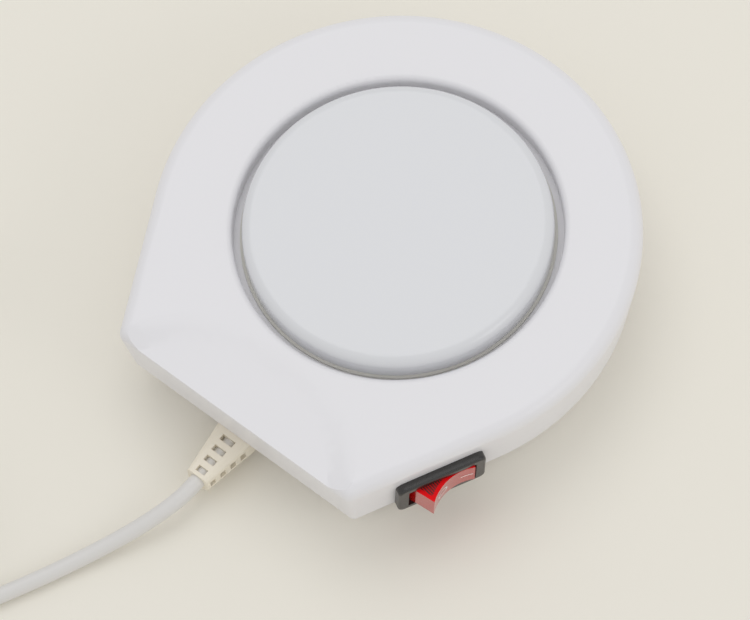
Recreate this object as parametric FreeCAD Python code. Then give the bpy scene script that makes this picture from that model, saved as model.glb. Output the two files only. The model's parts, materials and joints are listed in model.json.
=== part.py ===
import FreeCAD, Part
import math
import os

# Electric mug warmer, in millimetres. +Z is up and the table is at z = 0.
# The origin is the middle of the body's footprint. The cord leaves at the front, towards -Y,
# and the rocker switch is on the straight side at +X, near the front corner.

V = FreeCAD.Vector
UP = V(0, 0, 1)

# Body outline, at the widest level of the top shell
BODY_R = 55.1
FRONT_REACH = 57.3
FRONT_HALF = 33.0
CORNER_R = 2.2
BODY_Y = (FRONT_REACH - BODY_R) / 2
FRONT_Y = BODY_Y - FRONT_REACH

# Top shell
TOP_Z = 26.8
SKIRT_Z = 9.0
WALL = 2.0
EDGE_R = 3.0
SIDE_LEAN = math.tan(math.radians(9.0))
BOSS_R = 3.6

# Sloping recess in the shell's top, between the plate and the front edge
RECESS_FLOOR_ARCH = ((30.0, -60.5), (16.4, -47.0), (0.0, -42.4))
RECESS_RIM_ARCH = ((34.0, -60.5), (19.2, -41.3), (0.0, -38.2))
RECESS_DEPTH = 0.8
RECESS_FRONT_DEPTH = 2.9

# Round hole in the shell for the hot plate, and the ledge that the plate sits on
PLATE_Y = BODY_Y + 0.9
WELL_R = 37.0
WELL_LIP_R = 1.6
WELL_WALL = 1.8
LEDGE_R = 30.0
LEDGE_Z = 22.6
LEDGE_THICK = 1.6

# Hot plate and heater stack
PLATE_R = 34.9
PLATE_TOP = 29.4
PLATE_THICK = 1.5
PLATE_EDGE_R = 2.4
GASKET_THICK = 0.8
GASKET_WIDTH = 4.2
MICA_THICK = 0.5
MICA_R = 31.0
RIBBON_THICK = 0.3
RIBBON_WIDE = 2.0
RIBBON_STEP = 4.0
RIBBON_R = 22.0
PAD_THICK = 1.8
CLAMP_THICK = 1.0
CLAMP_R = 29.0
LEAD_HOLE_R = 1.6
LEAD_HOLE_X = 20.0
FUSE_LEAD_HOLE = (16.0, 12.0)
STUD_R = 2.0
STUD_FIT = 0.15
STUD_END_Z = 12.8
NUT_ACROSS = 7.0
NUT_THICK = 3.2
WASHER_R = 4.5
WASHER_THICK = 0.8
SHIELD_THICK = 0.8
SHIELD_R = 34.4
SHIELD_DISH_R = 27.5
SHIELD_DISH = 3.6
SHIELD_TAPER = 3.1
SHIELD_WALL = 0.6

# Thermal fuse under the clamp plate
FUSE_R = 2.0
FUSE_LONG = 10.5
FUSE_LEAD = 3.5
FUSE_Y = 12.0
FUSE_GAP = 0.2
FUSE_WIRE_R = 0.5
CLIP_THICK = 0.6
CLIP_WIDE = 5.0
CLIP_FOOT = 3.0
CLIP_FIT = 0.05

# Base tray
FOOT_HIGH = 1.5
FLOOR_THICK = 1.8
PARTING = 0.4
TRAY_STEP = 0.8
TRAY_IN = 4.0
TONGUE_THICK = 1.4
TONGUE_HIGH = 3.0
TONGUE_FIT = 0.25
FLOOR_Z = FOOT_HIGH + FLOOR_THICK

# Case screws, their bosses and the feet
SCREW_BACK_ANGLE = 52.0
SCREW_BACK_R = 44.2
SCREW_FRONT_X = 15.2
SCREW_FRONT_IN = 11.2
SCREW_R = 1.5
SCREW_HEAD_R = 2.8
SCREW_HEAD_HIGH = 2.0
SCREW_LONG = 12.0
SCREW_FIT = 0.3
THREAD = 0.2
DRIVER_HALF = 1.7
DRIVER_SLOT = 0.4
DRIVER_DEEP = 1.0
COUNTERBORE_FIT = 0.4
TRAY_BOSS_TOP = 9.0
FOOT_R = 5.0
FOOT_SEAT = 0.7
FOOT_FIT = 0.1
FOOT_BACK_ANGLE = 28.0
FOOT_BACK_R = 43.0
FOOT_FRONT_X = 24.5
FOOT_FRONT_IN = 13.0
LABEL_LONG = 34.0
LABEL_HIGH = 18.0
LABEL_THICK = 0.2
LABEL_CORNER_R = 2.0

# Rocker switch, in its own frame: X along the side wall to the front, Y outwards, Z up the wall
SWITCH_ALONG = -14.4
SWITCH_Z = 14.0
BEZEL_LONG = 21.2
BEZEL_HIGH = 13.2
BEZEL_THICK = 2.1
BEZEL_CORNER_R = 1.8
BEZEL_EDGE_R = 0.6
HOUSING_LONG = 18.8
HOUSING_HIGH = 11.2
HOUSING_DEEP = 12.5
HOUSING_FLOOR = 1.4
CUTOUT_FIT = 0.15
BARB_HALF = 3.0
BARB_HIGH = 0.5
BARB_DEEP = 4.6
OPENING_LONG = 16.4
OPENING_HIGH = 9.2
PAD_SIDE = 0.5
ROCKER_HIGH = 8.8
ROCKER_HALF = 7.7
ROCKER_SHOULDER_Y = 0.5
ROCKER_TIP_X = 6.1
ROCKER_TIP_Y = 6.25
ROCKER_MID_Y = 4.45
ROCKER_BASE_Y = -1.6
ROCKER_WALL = 1.1
ROCKER_TILT = 17.5
PIVOT_Y = -1.6
TRUNNION_R = 1.1
TRUNNION_FIT = 0.05
PLUNGER_R = 1.0
PLUNGER_TIP = 7.0
PLUNGER_LONG = 4.6
GUIDE_R = 2.1
GUIDE_END = 3.6
SPRING_WIRE = 0.3
SPRING_TURNS = 5
BLADE_LONG = 12.5
BLADE_WIDE = 3.2
BLADE_THICK = 0.5
BLADE_Y = -8.75
BLADE_TILT = 6.0
KNIFE_R = 0.4
KNIFE_FIT = 0.06
POST_DROP = 0.15
POST_HALF = 0.9
CONTACT_R = 1.2
CONTACT_THICK = 0.6
TAB_WIDE = 4.8
TAB_THICK = 0.8
TAB_OUT = 6.0
TAB_STEP = 7.0
TAB_HOLE_R = 0.8
TAB_HOLE_IN = 2.2
SLEEVE_WIDE = 3.0
SLEEVE_OVER = 2.4
SLEEVE_WALL = 0.5
LAMP_R = 1.6
LAMP_LONG = 6.0
LAMP_X = 4.2
LAMP_AT = V(LAMP_X, 1.9, 0)
RESISTOR_R = 0.9
RESISTOR_LONG = 3.6
RESISTOR_SPAN = 6.2
RESISTOR_AT = V(-LAMP_X, 1.6, 0)
RESISTOR_WIRE_R = 0.3
RIB_HALF = 0.5
RIB_LOW = 1.2
RIB_END = 2.5
SPRING_SEAT = 1.5

# Cord, its strain relief and the clamp inside
CORD_DIA = 3.7
CORD_X = -2.9
CORD_Z = 6.1
RELIEF_BASE = 9.5
RELIEF_BASE_HIGH = 5.7
RELIEF_END = 5.7
RELIEF_END_HIGH = 4.9
RELIEF_CORNER_R = 1.0
RELIEF_LONG = 13.6
RELIEF_GROOVE = 6.2
RELIEF_GROOVE_HIGH = 4.6
RELIEF_FIT = 0.15
RELIEF_ROWS = 4
WINDOW_FIRST = 2.2
WINDOW_LONG = 1.5
WINDOW_STEP = 3.0
WINDOW_SHARE = 0.2
INNER_FLANGE = 1.6
FLANGE_WIDE = 9.6
CORD_BORE_FIT = 0.05
CORD_INSIDE = 21.0
CORE_DIA = 1.7
CORE_APART = 0.95
CLAMP_BAR_Y = -44.5
CLAMP_BAR_LONG = 16.0
CLAMP_BAR_WIDE = 5.0
CLAMP_BAR_THICK = 2.0
CLAMP_POST_R = 2.4
CLAMP_SCREW_R = 1.1
CLAMP_HEAD_R = 2.1
CLAMP_HEAD_HIGH = 1.3
CRADLE_HALF = 3.4
CRADLE_THICK = 3.0

# Free cord: the stretch that shows, then the coil that lies outside the view
LEAD_ROUTE = [
    (CORD_X, -71.0, CORD_Z),
    (-4.4, -77.4, 5.3),
    (-7.6, -85.5, 3.5),
    (-12.3, -95.8, 2.1),
    (-17.4, -107.0, 1.95),
    (-26.431, -124.538, 1.95),
]
COIL_CENTRE = (-60.2, -124.2)
COIL_R = 30.5
COIL_PITCH = 5.05
COIL_LAYER = 4.25
COIL_TURNS = 6.43
COIL_START_ANGLE = -26.0
COIL_Z = 1.95
COIL_TAIL = 20.5

# Moulded plug at the cord's end
PLUG_LONG = 24.0
PLUG_WIDE = 21.0
PLUG_NECK = 9.0
PLUG_NECK_LONG = 9.0
NECK_TAPER = 1.6
PLUG_CORNER_R = 4.0
PLUG_EDGE_R = 2.0
RING_COUNT = 3
RING_FIRST = 2.0
RING_STEP = 2.4
RING_WIDE = 0.9
RING_R = 2.9
RING_GROW = 0.35
PIN_APART = 12.7
PIN_WIDE = 6.35
PIN_THICK = 1.5
PIN_LONG = 15.9
PIN_IN = 6.0
PIN_CORNER_R = 1.2
PIN_HOLE_R = 1.6
PIN_HOLE_IN = 3.6
TIE_WIDE = 3.0
TIE_THICK = 0.6
TIE_ANGLE = 215.0
TIE_FIT = 0.15


def box(x0, x1, y0, y1, z0, z1):
    return Part.makeBox(x1 - x0, y1 - y0, z1 - z0, V(x0, y0, z0))


def rod(radius, start, end):
    axis = end - start
    return Part.makeCylinder(radius, axis.Length, start, axis)


def disc(radius, z0, z1, x=0.0, y=0.0):
    return Part.makeCylinder(radius, z1 - z0, V(x, y, z0))


def ring(outer, inner, z0, z1, x=0.0, y=0.0):
    return disc(outer, z0, z1, x, y).cut(disc(inner, z0 - 1, z1 + 1, x, y))


def slab(points, thickness):
    """A flat plate through the points, raised along the vector."""
    return Part.Face(Part.makePolygon(points + points[:1])).extrude(thickness)


def fuse(shapes):
    whole = shapes[0]
    for shape in shapes[1:]:
        whole = whole.fuse(shape)
    return whole.removeSplitter()


def cut(shape, tools):
    for tool in tools:
        shape = shape.cut(tool)
    return shape


def group(shapes):
    return Part.makeCompound(shapes)


def rounded_plate(long, high, corner, y0, y1):
    """A plate across Y with rounded corners, centred on the Y axis."""
    plate = box(-long / 2, long / 2, y0, y1, -high / 2, high / 2)
    upright = [e for e in plate.Edges if abs(e.tangentAt(e.FirstParameter).y) > 0.9]
    return plate.makeFillet(corner, upright)


# Body outline and levels

def lean_in(z):
    """How far the side wall has moved in at a level below the top edge's rounding."""
    return (TOP_Z - EDGE_R - z) * SIDE_LEAN


def side_angle():
    """Direction of the straight side's outward normal, from +X."""
    return math.atan2(-FRONT_REACH, FRONT_HALF) + math.acos(BODY_R / math.hypot(FRONT_HALF, FRONT_REACH))


SIDE_ANGLE = side_angle()
SIDE_NORMAL = V(math.cos(SIDE_ANGLE), math.sin(SIDE_ANGLE), 0)
SIDE_ALONG = V(-math.sin(SIDE_ANGLE), math.cos(SIDE_ANGLE), 0)


def corner_point(inset, z):
    """Where the straight side meets the front edge, both moved in by the inset."""
    y = -(FRONT_REACH - inset)
    x = (BODY_R - inset - SIDE_NORMAL.y * y) / SIDE_NORMAL.x
    return V(x, y + BODY_Y, z)


def mirrored(p):
    return V(-p.x, p.y, p.z)


def outline(inset, z):
    """The body's outline moved in by the inset: back arc, straight sides, small corners and front edge."""
    radius = BODY_R - inset
    centre = V(0, BODY_Y, z)
    corner_r = max(CORNER_R - inset * 0.3, 0.6)
    corner = corner_point(inset, z)
    half_turn = (math.pi / 2 + SIDE_ANGLE) / 2
    reach = corner_r * math.tan(half_turn)
    on_side = corner + SIDE_ALONG * reach
    on_front = corner - V(reach, 0, 0)
    middle = on_front + V(0, corner_r, 0)
    towards = (corner - middle).normalize()
    on_corner = middle + towards * corner_r
    tangent = centre + SIDE_NORMAL * radius
    back = centre + V(0, radius, 0)
    mid_angle = (SIDE_ANGLE + math.pi / 2) / 2
    quarter = centre + V(math.cos(mid_angle), math.sin(mid_angle), 0) * radius
    edges = [
        Part.Arc(tangent, quarter, back),
        Part.Arc(back, mirrored(quarter), mirrored(tangent)),
        Part.LineSegment(mirrored(tangent), mirrored(on_side)),
        Part.Arc(mirrored(on_side), mirrored(on_corner), mirrored(on_front)),
        Part.LineSegment(mirrored(on_front), on_front),
        Part.Arc(on_front, on_corner, on_side),
        Part.LineSegment(on_side, tangent),
    ]
    return Part.Wire([edge.toShape() for edge in edges])


def front_wall_y(z):
    """Outer face of the tray's front wall at a level."""
    rim_inset = lean_in(SKIRT_Z) + TRAY_STEP
    top = SKIRT_Z - PARTING
    share = (top - z) / (top - FOOT_HIGH)
    return FRONT_Y + rim_inset + TRAY_IN * share


GROOVE_Y = front_wall_y(CORD_Z) - 0.1
FLANGE_Y = front_wall_y(CORD_Z) + WALL + 0.6


def leaning_block(inset0, z0, inset1, z1):
    return Part.makeLoft([outline(inset0, z0), outline(inset1, z1)], True, True)


def screw_places():
    angle = math.radians(SCREW_BACK_ANGLE)
    back_x = SCREW_BACK_R * math.cos(angle)
    back_y = BODY_Y + SCREW_BACK_R * math.sin(angle)
    front_y = FRONT_Y + SCREW_FRONT_IN
    return [(back_x, back_y), (-back_x, back_y), (SCREW_FRONT_X, front_y), (-SCREW_FRONT_X, front_y)]


def foot_places():
    angle = math.radians(FOOT_BACK_ANGLE)
    back_x = FOOT_BACK_R * math.cos(angle)
    back_y = BODY_Y + FOOT_BACK_R * math.sin(angle)
    front_y = FRONT_Y + FOOT_FRONT_IN
    return [(back_x, back_y), (-back_x, back_y), (FOOT_FRONT_X, front_y), (-FOOT_FRONT_X, front_y)]


# Switch placement

def on_side_wall(shape):
    """Move a shape from the switch's own frame to its place on the leaning side wall."""
    lean = math.atan(SIDE_LEAN)
    foot = V(0, BODY_Y, SWITCH_Z) + SIDE_NORMAL * (BODY_R - lean_in(SWITCH_Z)) + SIDE_ALONG * SWITCH_ALONG
    outward = SIDE_NORMAL * math.cos(lean) - UP * math.sin(lean)
    up_wall = SIDE_NORMAL * math.sin(lean) + UP * math.cos(lean)
    along = outward.cross(up_wall)
    matrix = FreeCAD.Matrix(
        along.x, outward.x, up_wall.x, foot.x,
        along.y, outward.y, up_wall.y, foot.y,
        along.z, outward.z, up_wall.z, foot.z,
        0, 0, 0, 1,
    )
    placed = shape.copy()
    placed.Placement = FreeCAD.Placement(matrix).multiply(placed.Placement)
    return placed


def turned(shape, degrees, at):
    turned_shape = shape.copy()
    turned_shape.rotate(at, UP, degrees)
    return turned_shape


def cutout(grow):
    """The hole that the switch housing needs in the wall, in the switch's frame."""
    half_long = HOUSING_LONG / 2 + grow
    half_high = HOUSING_HIGH / 2 + grow
    return box(-half_long, half_long, -HOUSING_DEEP, BEZEL_THICK, -half_high, half_high)


def barb(side, grow):
    """A snap barb on the housing's long side, just behind the wall, grown for the pocket it needs."""
    z0, z1 = sorted((side * HOUSING_HIGH / 2, side * (HOUSING_HIGH / 2 + BARB_HIGH + grow)))
    deep = BARB_DEEP + grow * 12
    return box(-BARB_HALF - grow, BARB_HALF + grow, -deep, -WALL - 0.4 + grow, z0, z1)


# Casing

def recess_tool():
    """A shallow arch-shaped recess whose floor slopes to the front edge, with a soft band round it."""
    def arch(share):
        """The arch at a share of the way up from the recess's floor to its rim."""
        end, shoulder, top = [
            (low[0] + (high[0] - low[0]) * share, low[1] + (high[1] - low[1]) * share)
            for low, high in zip(RECESS_FLOOR_ARCH, RECESS_RIM_ARCH)
        ]
        z_top = TOP_Z - RECESS_DEPTH * (1 - share)
        z_end = TOP_Z - RECESS_FRONT_DEPTH * (1 - share)

        def at(point, side):
            along = (point[1] - top[1]) / (end[1] - top[1])
            return V(side * point[0], point[1], z_top + (z_end - z_top) * along)

        curve = Part.BSplineCurve()
        curve.interpolate([at(end, 1), at(shoulder, 1), at(top, 1), at(shoulder, -1), at(end, -1)])
        return Part.Wire([curve.toShape(), Part.LineSegment(at(end, -1), at(end, 1)).toShape()])

    return Part.makeLoft([arch(0), arch(1.6)], True, True)


def make_top_shell():
    outside = leaning_block(lean_in(SKIRT_Z), SKIRT_Z, lean_in(TOP_Z), TOP_Z)
    top_edges = [e for e in outside.Edges if e.BoundBox.ZMin > TOP_Z - 0.01]
    outside = outside.makeFillet(EDGE_R, top_edges)
    recess = recess_tool()
    outside = outside.cut(recess)
    ceiling = TOP_Z - WALL
    inside = leaning_block(lean_in(SKIRT_Z - 1) + WALL, SKIRT_Z - 1, lean_in(ceiling) + WALL, ceiling)
    recess.translate(V(0, 0, -WALL))
    shell = outside.cut(inside.cut(recess))
    collar = disc(WELL_R + WELL_WALL, LEDGE_Z - LEDGE_THICK, ceiling + 0.4, 0, PLATE_Y)
    shell = shell.fuse(collar)
    for x, y in screw_places():
        shell = shell.fuse(disc(BOSS_R, TRAY_BOSS_TOP, ceiling + 0.4, x, y))
    shell = shell.cut(disc(WELL_R, LEDGE_Z, TOP_Z + 5, 0, PLATE_Y))
    shell = shell.cut(disc(LEDGE_R, LEDGE_Z - LEDGE_THICK - 1, LEDGE_Z + 1, 0, PLATE_Y))
    for x, y in screw_places():
        shell = shell.cut(disc(SCREW_R - THREAD, TRAY_BOSS_TOP - 1, TRAY_BOSS_TOP + SCREW_LONG - 2, x, y))
    shell = shell.cut(on_side_wall(cutout(CUTOUT_FIT)))
    lip = [
        e for e in shell.Edges
        if abs(e.BoundBox.ZMax - TOP_Z) < 0.01 and e.BoundBox.XMax < WELL_R + 0.1
        and abs(e.BoundBox.YMax - PLATE_Y) < WELL_R + 0.1 and hasattr(e.Curve, "Radius")
        and abs(e.Curve.Radius - WELL_R) < 0.01
    ]
    return shell.makeFillet(WELL_LIP_R, lip).removeSplitter()


def clamped_cord(fit):
    """The room that the cord takes where it is clamped."""
    reach = CLAMP_BAR_WIDE
    low = V(CORD_X, CLAMP_BAR_Y - reach, CORD_Z)
    return rod(CORD_DIA / 2 + fit, low, low + V(0, 2 * reach, 0))


def make_base_tray():
    top = SKIRT_Z - PARTING
    rim_inset = lean_in(SKIRT_Z) + TRAY_STEP
    floor_inset = rim_inset + TRAY_IN
    outside = leaning_block(floor_inset, FOOT_HIGH, rim_inset, top)
    inside = leaning_block(floor_inset + WALL, FLOOR_Z, rim_inset + WALL, top + 1)
    tray = outside.cut(inside)
    tongue_out = lean_in(SKIRT_Z) + WALL + TONGUE_FIT
    tongue_top = SKIRT_Z + TONGUE_HIGH
    tongue = leaning_block(tongue_out, top - 1.5, tongue_out - TONGUE_HIGH * SIDE_LEAN, tongue_top)
    tongue_in = tongue_out + TONGUE_THICK
    tongue = tongue.cut(leaning_block(tongue_in, top - 2.5, tongue_in, tongue_top + 1))
    tray = tray.fuse(tongue)
    pad = box(-BEZEL_LONG / 2 + PAD_SIDE, BEZEL_LONG / 2 - PAD_SIDE, -5.5, 0, -BEZEL_HIGH / 2 + PAD_SIDE, 0)
    pad = on_side_wall(pad).common(box(0, BODY_R, FRONT_Y, BODY_R, FOOT_HIGH, top))
    tray = tray.fuse(pad)
    for x, y in screw_places():
        tray = tray.fuse(disc(BOSS_R, FOOT_HIGH, TRAY_BOSS_TOP - 0.2, x, y))
    for side in (-1, 1):
        x = CORD_X + side * (CLAMP_BAR_LONG / 2 - CLAMP_POST_R)
        tray = tray.fuse(disc(CLAMP_POST_R, FOOT_HIGH + 0.5, CORD_Z + CORD_DIA / 2 - 0.2, x, CLAMP_BAR_Y))
        tray = tray.cut(disc(CLAMP_SCREW_R - THREAD, FLOOR_Z, TOP_Z, x, CLAMP_BAR_Y))
    cradle = box(CORD_X - CRADLE_HALF, CORD_X + CRADLE_HALF, CLAMP_BAR_Y - CRADLE_THICK / 2,
                 CLAMP_BAR_Y + CRADLE_THICK / 2, FLOOR_Z - 0.5, CORD_Z - 0.6)
    tray = tray.fuse(cradle.cut(clamped_cord(CORD_BORE_FIT)))
    for x, y in screw_places():
        head_top = FOOT_HIGH + SCREW_HEAD_HIGH + COUNTERBORE_FIT
        tray = tray.cut(disc(SCREW_HEAD_R + COUNTERBORE_FIT, FOOT_HIGH - 1, head_top, x, y))
        tray = tray.cut(disc(SCREW_R + SCREW_FIT, FOOT_HIGH, TRAY_BOSS_TOP + 1, x, y))
    for x, y in foot_places():
        tray = tray.cut(disc(FOOT_R + FOOT_FIT, FOOT_HIGH - 1, FOOT_HIGH + FOOT_SEAT, x, y))
    tray = tray.cut(on_side_wall(cutout(CUTOUT_FIT)))
    tray = tray.cut(on_side_wall(barb(-1, CUTOUT_FIT)))
    notch_half = RELIEF_GROOVE / 2 + RELIEF_FIT
    notch_low = CORD_Z - RELIEF_GROOVE_HIGH / 2 - RELIEF_FIT
    notch = box(CORD_X - notch_half, CORD_X + notch_half, FRONT_Y - 1, FRONT_Y + 14,
                notch_low, tongue_top + 1)
    collar_way = box(CORD_X - RELIEF_BASE / 2 - RELIEF_FIT, CORD_X + RELIEF_BASE / 2 + RELIEF_FIT,
                     FRONT_Y - 1, GROOVE_Y + RELIEF_FIT,
                     CORD_Z - RELIEF_BASE_HIGH / 2 - RELIEF_FIT, tongue_top + 1)
    flange_way = box(CORD_X - FLANGE_WIDE / 2 - RELIEF_FIT, CORD_X + FLANGE_WIDE / 2 + RELIEF_FIT,
                     FLANGE_Y - RELIEF_FIT, FLANGE_Y + INNER_FLANGE + RELIEF_FIT, FLOOR_Z, tongue_top + 1)
    return cut(tray, [notch, collar_way, flange_way]).removeSplitter()


def make_feet():
    return group([disc(FOOT_R, 0, FOOT_HIGH + FOOT_SEAT, x, y) for x, y in foot_places()])


def make_case_screws():
    screws = []
    for x, y in screw_places():
        seat = FOOT_HIGH + COUNTERBORE_FIT
        head = disc(SCREW_HEAD_R, seat, seat + SCREW_HEAD_HIGH, x, y)
        shank = disc(SCREW_R - THREAD, seat, seat + SCREW_HEAD_HIGH + SCREW_LONG, x, y)
        deep = seat + DRIVER_DEEP
        driver = box(x - DRIVER_HALF, x + DRIVER_HALF, y - DRIVER_SLOT, y + DRIVER_SLOT, seat - 1, deep)
        across = box(x - DRIVER_SLOT, x + DRIVER_SLOT, y - DRIVER_HALF, y + DRIVER_HALF, seat - 1, deep)
        screws.append(cut(head.fuse(shank), [driver, across]))
    return group(screws)


def make_rating_label():
    half_long = LABEL_LONG / 2
    half_high = LABEL_HIGH / 2
    plate = box(-half_long, half_long, -half_high, half_high, FOOT_HIGH - LABEL_THICK, FOOT_HIGH)
    upright = [e for e in plate.Edges if abs(e.tangentAt(e.FirstParameter).z) > 0.9]
    return plate.makeFillet(LABEL_CORNER_R, upright)


# Hot plate and what is under it

HEATER_TOP = PLATE_TOP - PLATE_THICK
RIBBON_TOP = HEATER_TOP - MICA_THICK
LOWER_MICA_TOP = RIBBON_TOP - RIBBON_THICK
PAD_TOP = LOWER_MICA_TOP - MICA_THICK
CLAMP_TOP = PAD_TOP - PAD_THICK
CLAMP_BOTTOM = CLAMP_TOP - CLAMP_THICK
SHIELD_TOP = LEDGE_Z - LEDGE_THICK
SHIELD_FLOOR = SHIELD_TOP - SHIELD_DISH - SHIELD_THICK


def make_hot_plate():
    seat = LEDGE_Z + GASKET_THICK
    plate = disc(PLATE_R, seat, PLATE_TOP, 0, PLATE_Y)
    top_rim = [e for e in plate.Edges if e.BoundBox.ZMin > PLATE_TOP - 0.01]
    plate = plate.makeFillet(PLATE_EDGE_R, top_rim)
    hollow = disc(PLATE_R - PLATE_THICK, seat - 1, HEATER_TOP, 0, PLATE_Y)
    inner_rim = [e for e in hollow.Edges if e.BoundBox.ZMin > HEATER_TOP - 0.01]
    plate = plate.cut(hollow.makeFillet(PLATE_EDGE_R - PLATE_THICK, inner_rim))
    return plate.fuse(disc(STUD_R, STUD_END_Z, HEATER_TOP + 0.5, 0, PLATE_Y)).removeSplitter()


def make_plate_gasket():
    outer = PLATE_R + 0.6
    return ring(outer, outer - GASKET_WIDTH, LEDGE_Z, LEDGE_Z + GASKET_THICK, 0, PLATE_Y)


def lead_holes(z0, z1):
    return [disc(LEAD_HOLE_R, z0, z1, side * LEAD_HOLE_X, PLATE_Y) for side in (-1, 1)]


def heater_sheet(radius, top, thickness, holes=True):
    sheet = ring(radius, STUD_R + STUD_FIT, top - thickness, top, 0, PLATE_Y)
    return cut(sheet, lead_holes(top - thickness - 1, top + 1)) if holes else sheet


def make_heater_ribbon():
    """Flat resistance ribbon laid to and fro across the mica, round the stud."""
    rows = int(2 * RIBBON_R / RIBBON_STEP)
    first = -rows * RIBBON_STEP / 2
    bars = []
    for k in range(rows + 1):
        y = first + k * RIBBON_STEP
        half = math.sqrt(max(RIBBON_R ** 2 - y ** 2, 0)) + 1.0
        half = min(half, LEAD_HOLE_X - LEAD_HOLE_R - 1.0)
        bars.append((half, y))
    low = RIBBON_TOP - RIBBON_THICK
    w = RIBBON_WIDE / 2
    pieces = []
    for k, (half, y) in enumerate(bars):
        pieces.append(box(-half, half, PLATE_Y + y - w, PLATE_Y + y + w, low, RIBBON_TOP))
        if k + 1 < len(bars):
            side = 1 if k % 2 else -1
            reach = min(half, bars[k + 1][0])
            x0, x1 = sorted((side * reach, side * (reach - RIBBON_WIDE)))
            pieces.append(box(x0, x1, PLATE_Y + y, PLATE_Y + y + RIBBON_STEP, low, RIBBON_TOP))
    for side, y in ((-1, bars[0][1]), (1, bars[-1][1])):
        x0, x1 = sorted((0, side * (LEAD_HOLE_X + w)))
        pieces.append(box(x0, x1, PLATE_Y + y - w, PLATE_Y + y + w, low, RIBBON_TOP))
        x0, x1 = sorted((side * (LEAD_HOLE_X - w), side * (LEAD_HOLE_X + w)))
        y0, y1 = sorted((0, y))
        pieces.append(box(x0, x1, PLATE_Y + y0, PLATE_Y + y1, low, RIBBON_TOP))
    ribbon = fuse(pieces)
    return ribbon.cut(disc(STUD_R + 0.8, low - 1, RIBBON_TOP + 1, 0, PLATE_Y))


def hexagon(across, thickness, z):
    radius = across / 2 / math.cos(math.pi / 6)
    points = [
        V(radius * math.cos(math.radians(60 * k)), PLATE_Y + radius * math.sin(math.radians(60 * k)), z)
        for k in range(6)
    ]
    return slab(points, V(0, 0, thickness))


def stud_nut(top):
    bore = disc(STUD_R, top - NUT_THICK - 1, top + 1, 0, PLATE_Y)
    return hexagon(NUT_ACROSS, NUT_THICK, top - NUT_THICK).cut(bore)


def make_washers():
    bore = STUD_R + STUD_FIT
    upper = ring(WASHER_R, bore, CLAMP_BOTTOM - WASHER_THICK, CLAMP_BOTTOM, 0, PLATE_Y)
    lower = ring(WASHER_R, bore, SHIELD_FLOOR - WASHER_THICK, SHIELD_FLOOR, 0, PLATE_Y)
    return group([upper, lower])


def make_heat_shield():
    rim = ring(SHIELD_R, SHIELD_DISH_R, SHIELD_TOP - SHIELD_THICK, SHIELD_TOP, 0, PLATE_Y)
    foot_r = SHIELD_DISH_R - SHIELD_TAPER
    outer = Part.makeCone(foot_r + SHIELD_WALL, SHIELD_DISH_R + SHIELD_WALL, SHIELD_DISH + SHIELD_THICK,
                          V(0, PLATE_Y, SHIELD_FLOOR))
    inner = Part.makeCone(foot_r, SHIELD_DISH_R, SHIELD_DISH, V(0, PLATE_Y, SHIELD_FLOOR + SHIELD_THICK))
    bore = disc(STUD_R + STUD_FIT, SHIELD_FLOOR - 1, SHIELD_TOP + 1, 0, PLATE_Y)
    shield = cut(rim.fuse(outer), [inner, bore])
    ways = lead_holes(SHIELD_FLOOR - 1, SHIELD_TOP)
    fuse_x, fuse_y = FUSE_LEAD_HOLE
    ways.append(disc(LEAD_HOLE_R, SHIELD_FLOOR - 1, SHIELD_TOP, fuse_x, PLATE_Y + fuse_y))
    return cut(shield, ways).removeSplitter()


FUSE_Z = CLAMP_BOTTOM - FUSE_GAP - FUSE_R


def make_thermal_fuse():
    y = PLATE_Y + FUSE_Y
    half = FUSE_LONG / 2
    body = rod(FUSE_R, V(-half, y, FUSE_Z), V(half, y, FUSE_Z))
    leads = rod(FUSE_WIRE_R, V(-half - FUSE_LEAD, y, FUSE_Z), V(half + FUSE_LEAD, y, FUSE_Z))
    return body.fuse(leads)


def make_fuse_clip():
    y = PLATE_Y + FUSE_Y
    inner = FUSE_R + CLIP_FIT
    outer = inner + CLIP_THICK
    half = CLIP_WIDE / 2
    saddle = rod(outer, V(-half, y, FUSE_Z), V(half, y, FUSE_Z))
    legs = box(-half, half, y - outer, y + outer, FUSE_Z, CLAMP_BOTTOM)
    reach = outer + CLIP_FOOT
    feet = box(-half, half, y - reach, y + reach, CLAMP_BOTTOM - CLIP_THICK, CLAMP_BOTTOM)
    way = rod(inner, V(-half - 1, y, FUSE_Z), V(half + 1, y, FUSE_Z))
    gap = box(-half - 1, half + 1, y - inner, y + inner, FUSE_Z, CLAMP_BOTTOM + 1)
    return cut(saddle.fuse(legs).fuse(feet), [way, gap])


# Rocker switch

def make_switch_housing():
    bezel = rounded_plate(BEZEL_LONG, BEZEL_HIGH, BEZEL_CORNER_R, 0, BEZEL_THICK)
    face_edges = [e for e in bezel.Edges if e.BoundBox.YMin > BEZEL_THICK - 0.01]
    bezel = bezel.makeFillet(BEZEL_EDGE_R, face_edges)
    body = box(-HOUSING_LONG / 2, HOUSING_LONG / 2, -HOUSING_DEEP, 0.5, -HOUSING_HIGH / 2, HOUSING_HIGH / 2)
    floor = -HOUSING_DEEP + HOUSING_FLOOR
    half_long = OPENING_LONG / 2
    half_high = OPENING_HIGH / 2
    cavity = box(-half_long, half_long, floor, BEZEL_THICK + 1, -half_high, half_high)
    axle = rod(TRUNNION_R + TRUNNION_FIT, V(0, PIVOT_Y, -HOUSING_HIGH), V(0, PIVOT_Y, HOUSING_HIGH))
    half_tab = TAB_THICK / 2
    tabs = [box(x - half_tab, x + half_tab, -HOUSING_DEEP - 1, floor + 1, -TAB_WIDE / 2, TAB_WIDE / 2)
            for x in (-TAB_STEP, 0, TAB_STEP)]
    barbs = [barb(side, 0) for side in (-1, 1)]
    return on_side_wall(cut(fuse([bezel, body] + barbs), [cavity, axle] + tabs))


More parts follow.
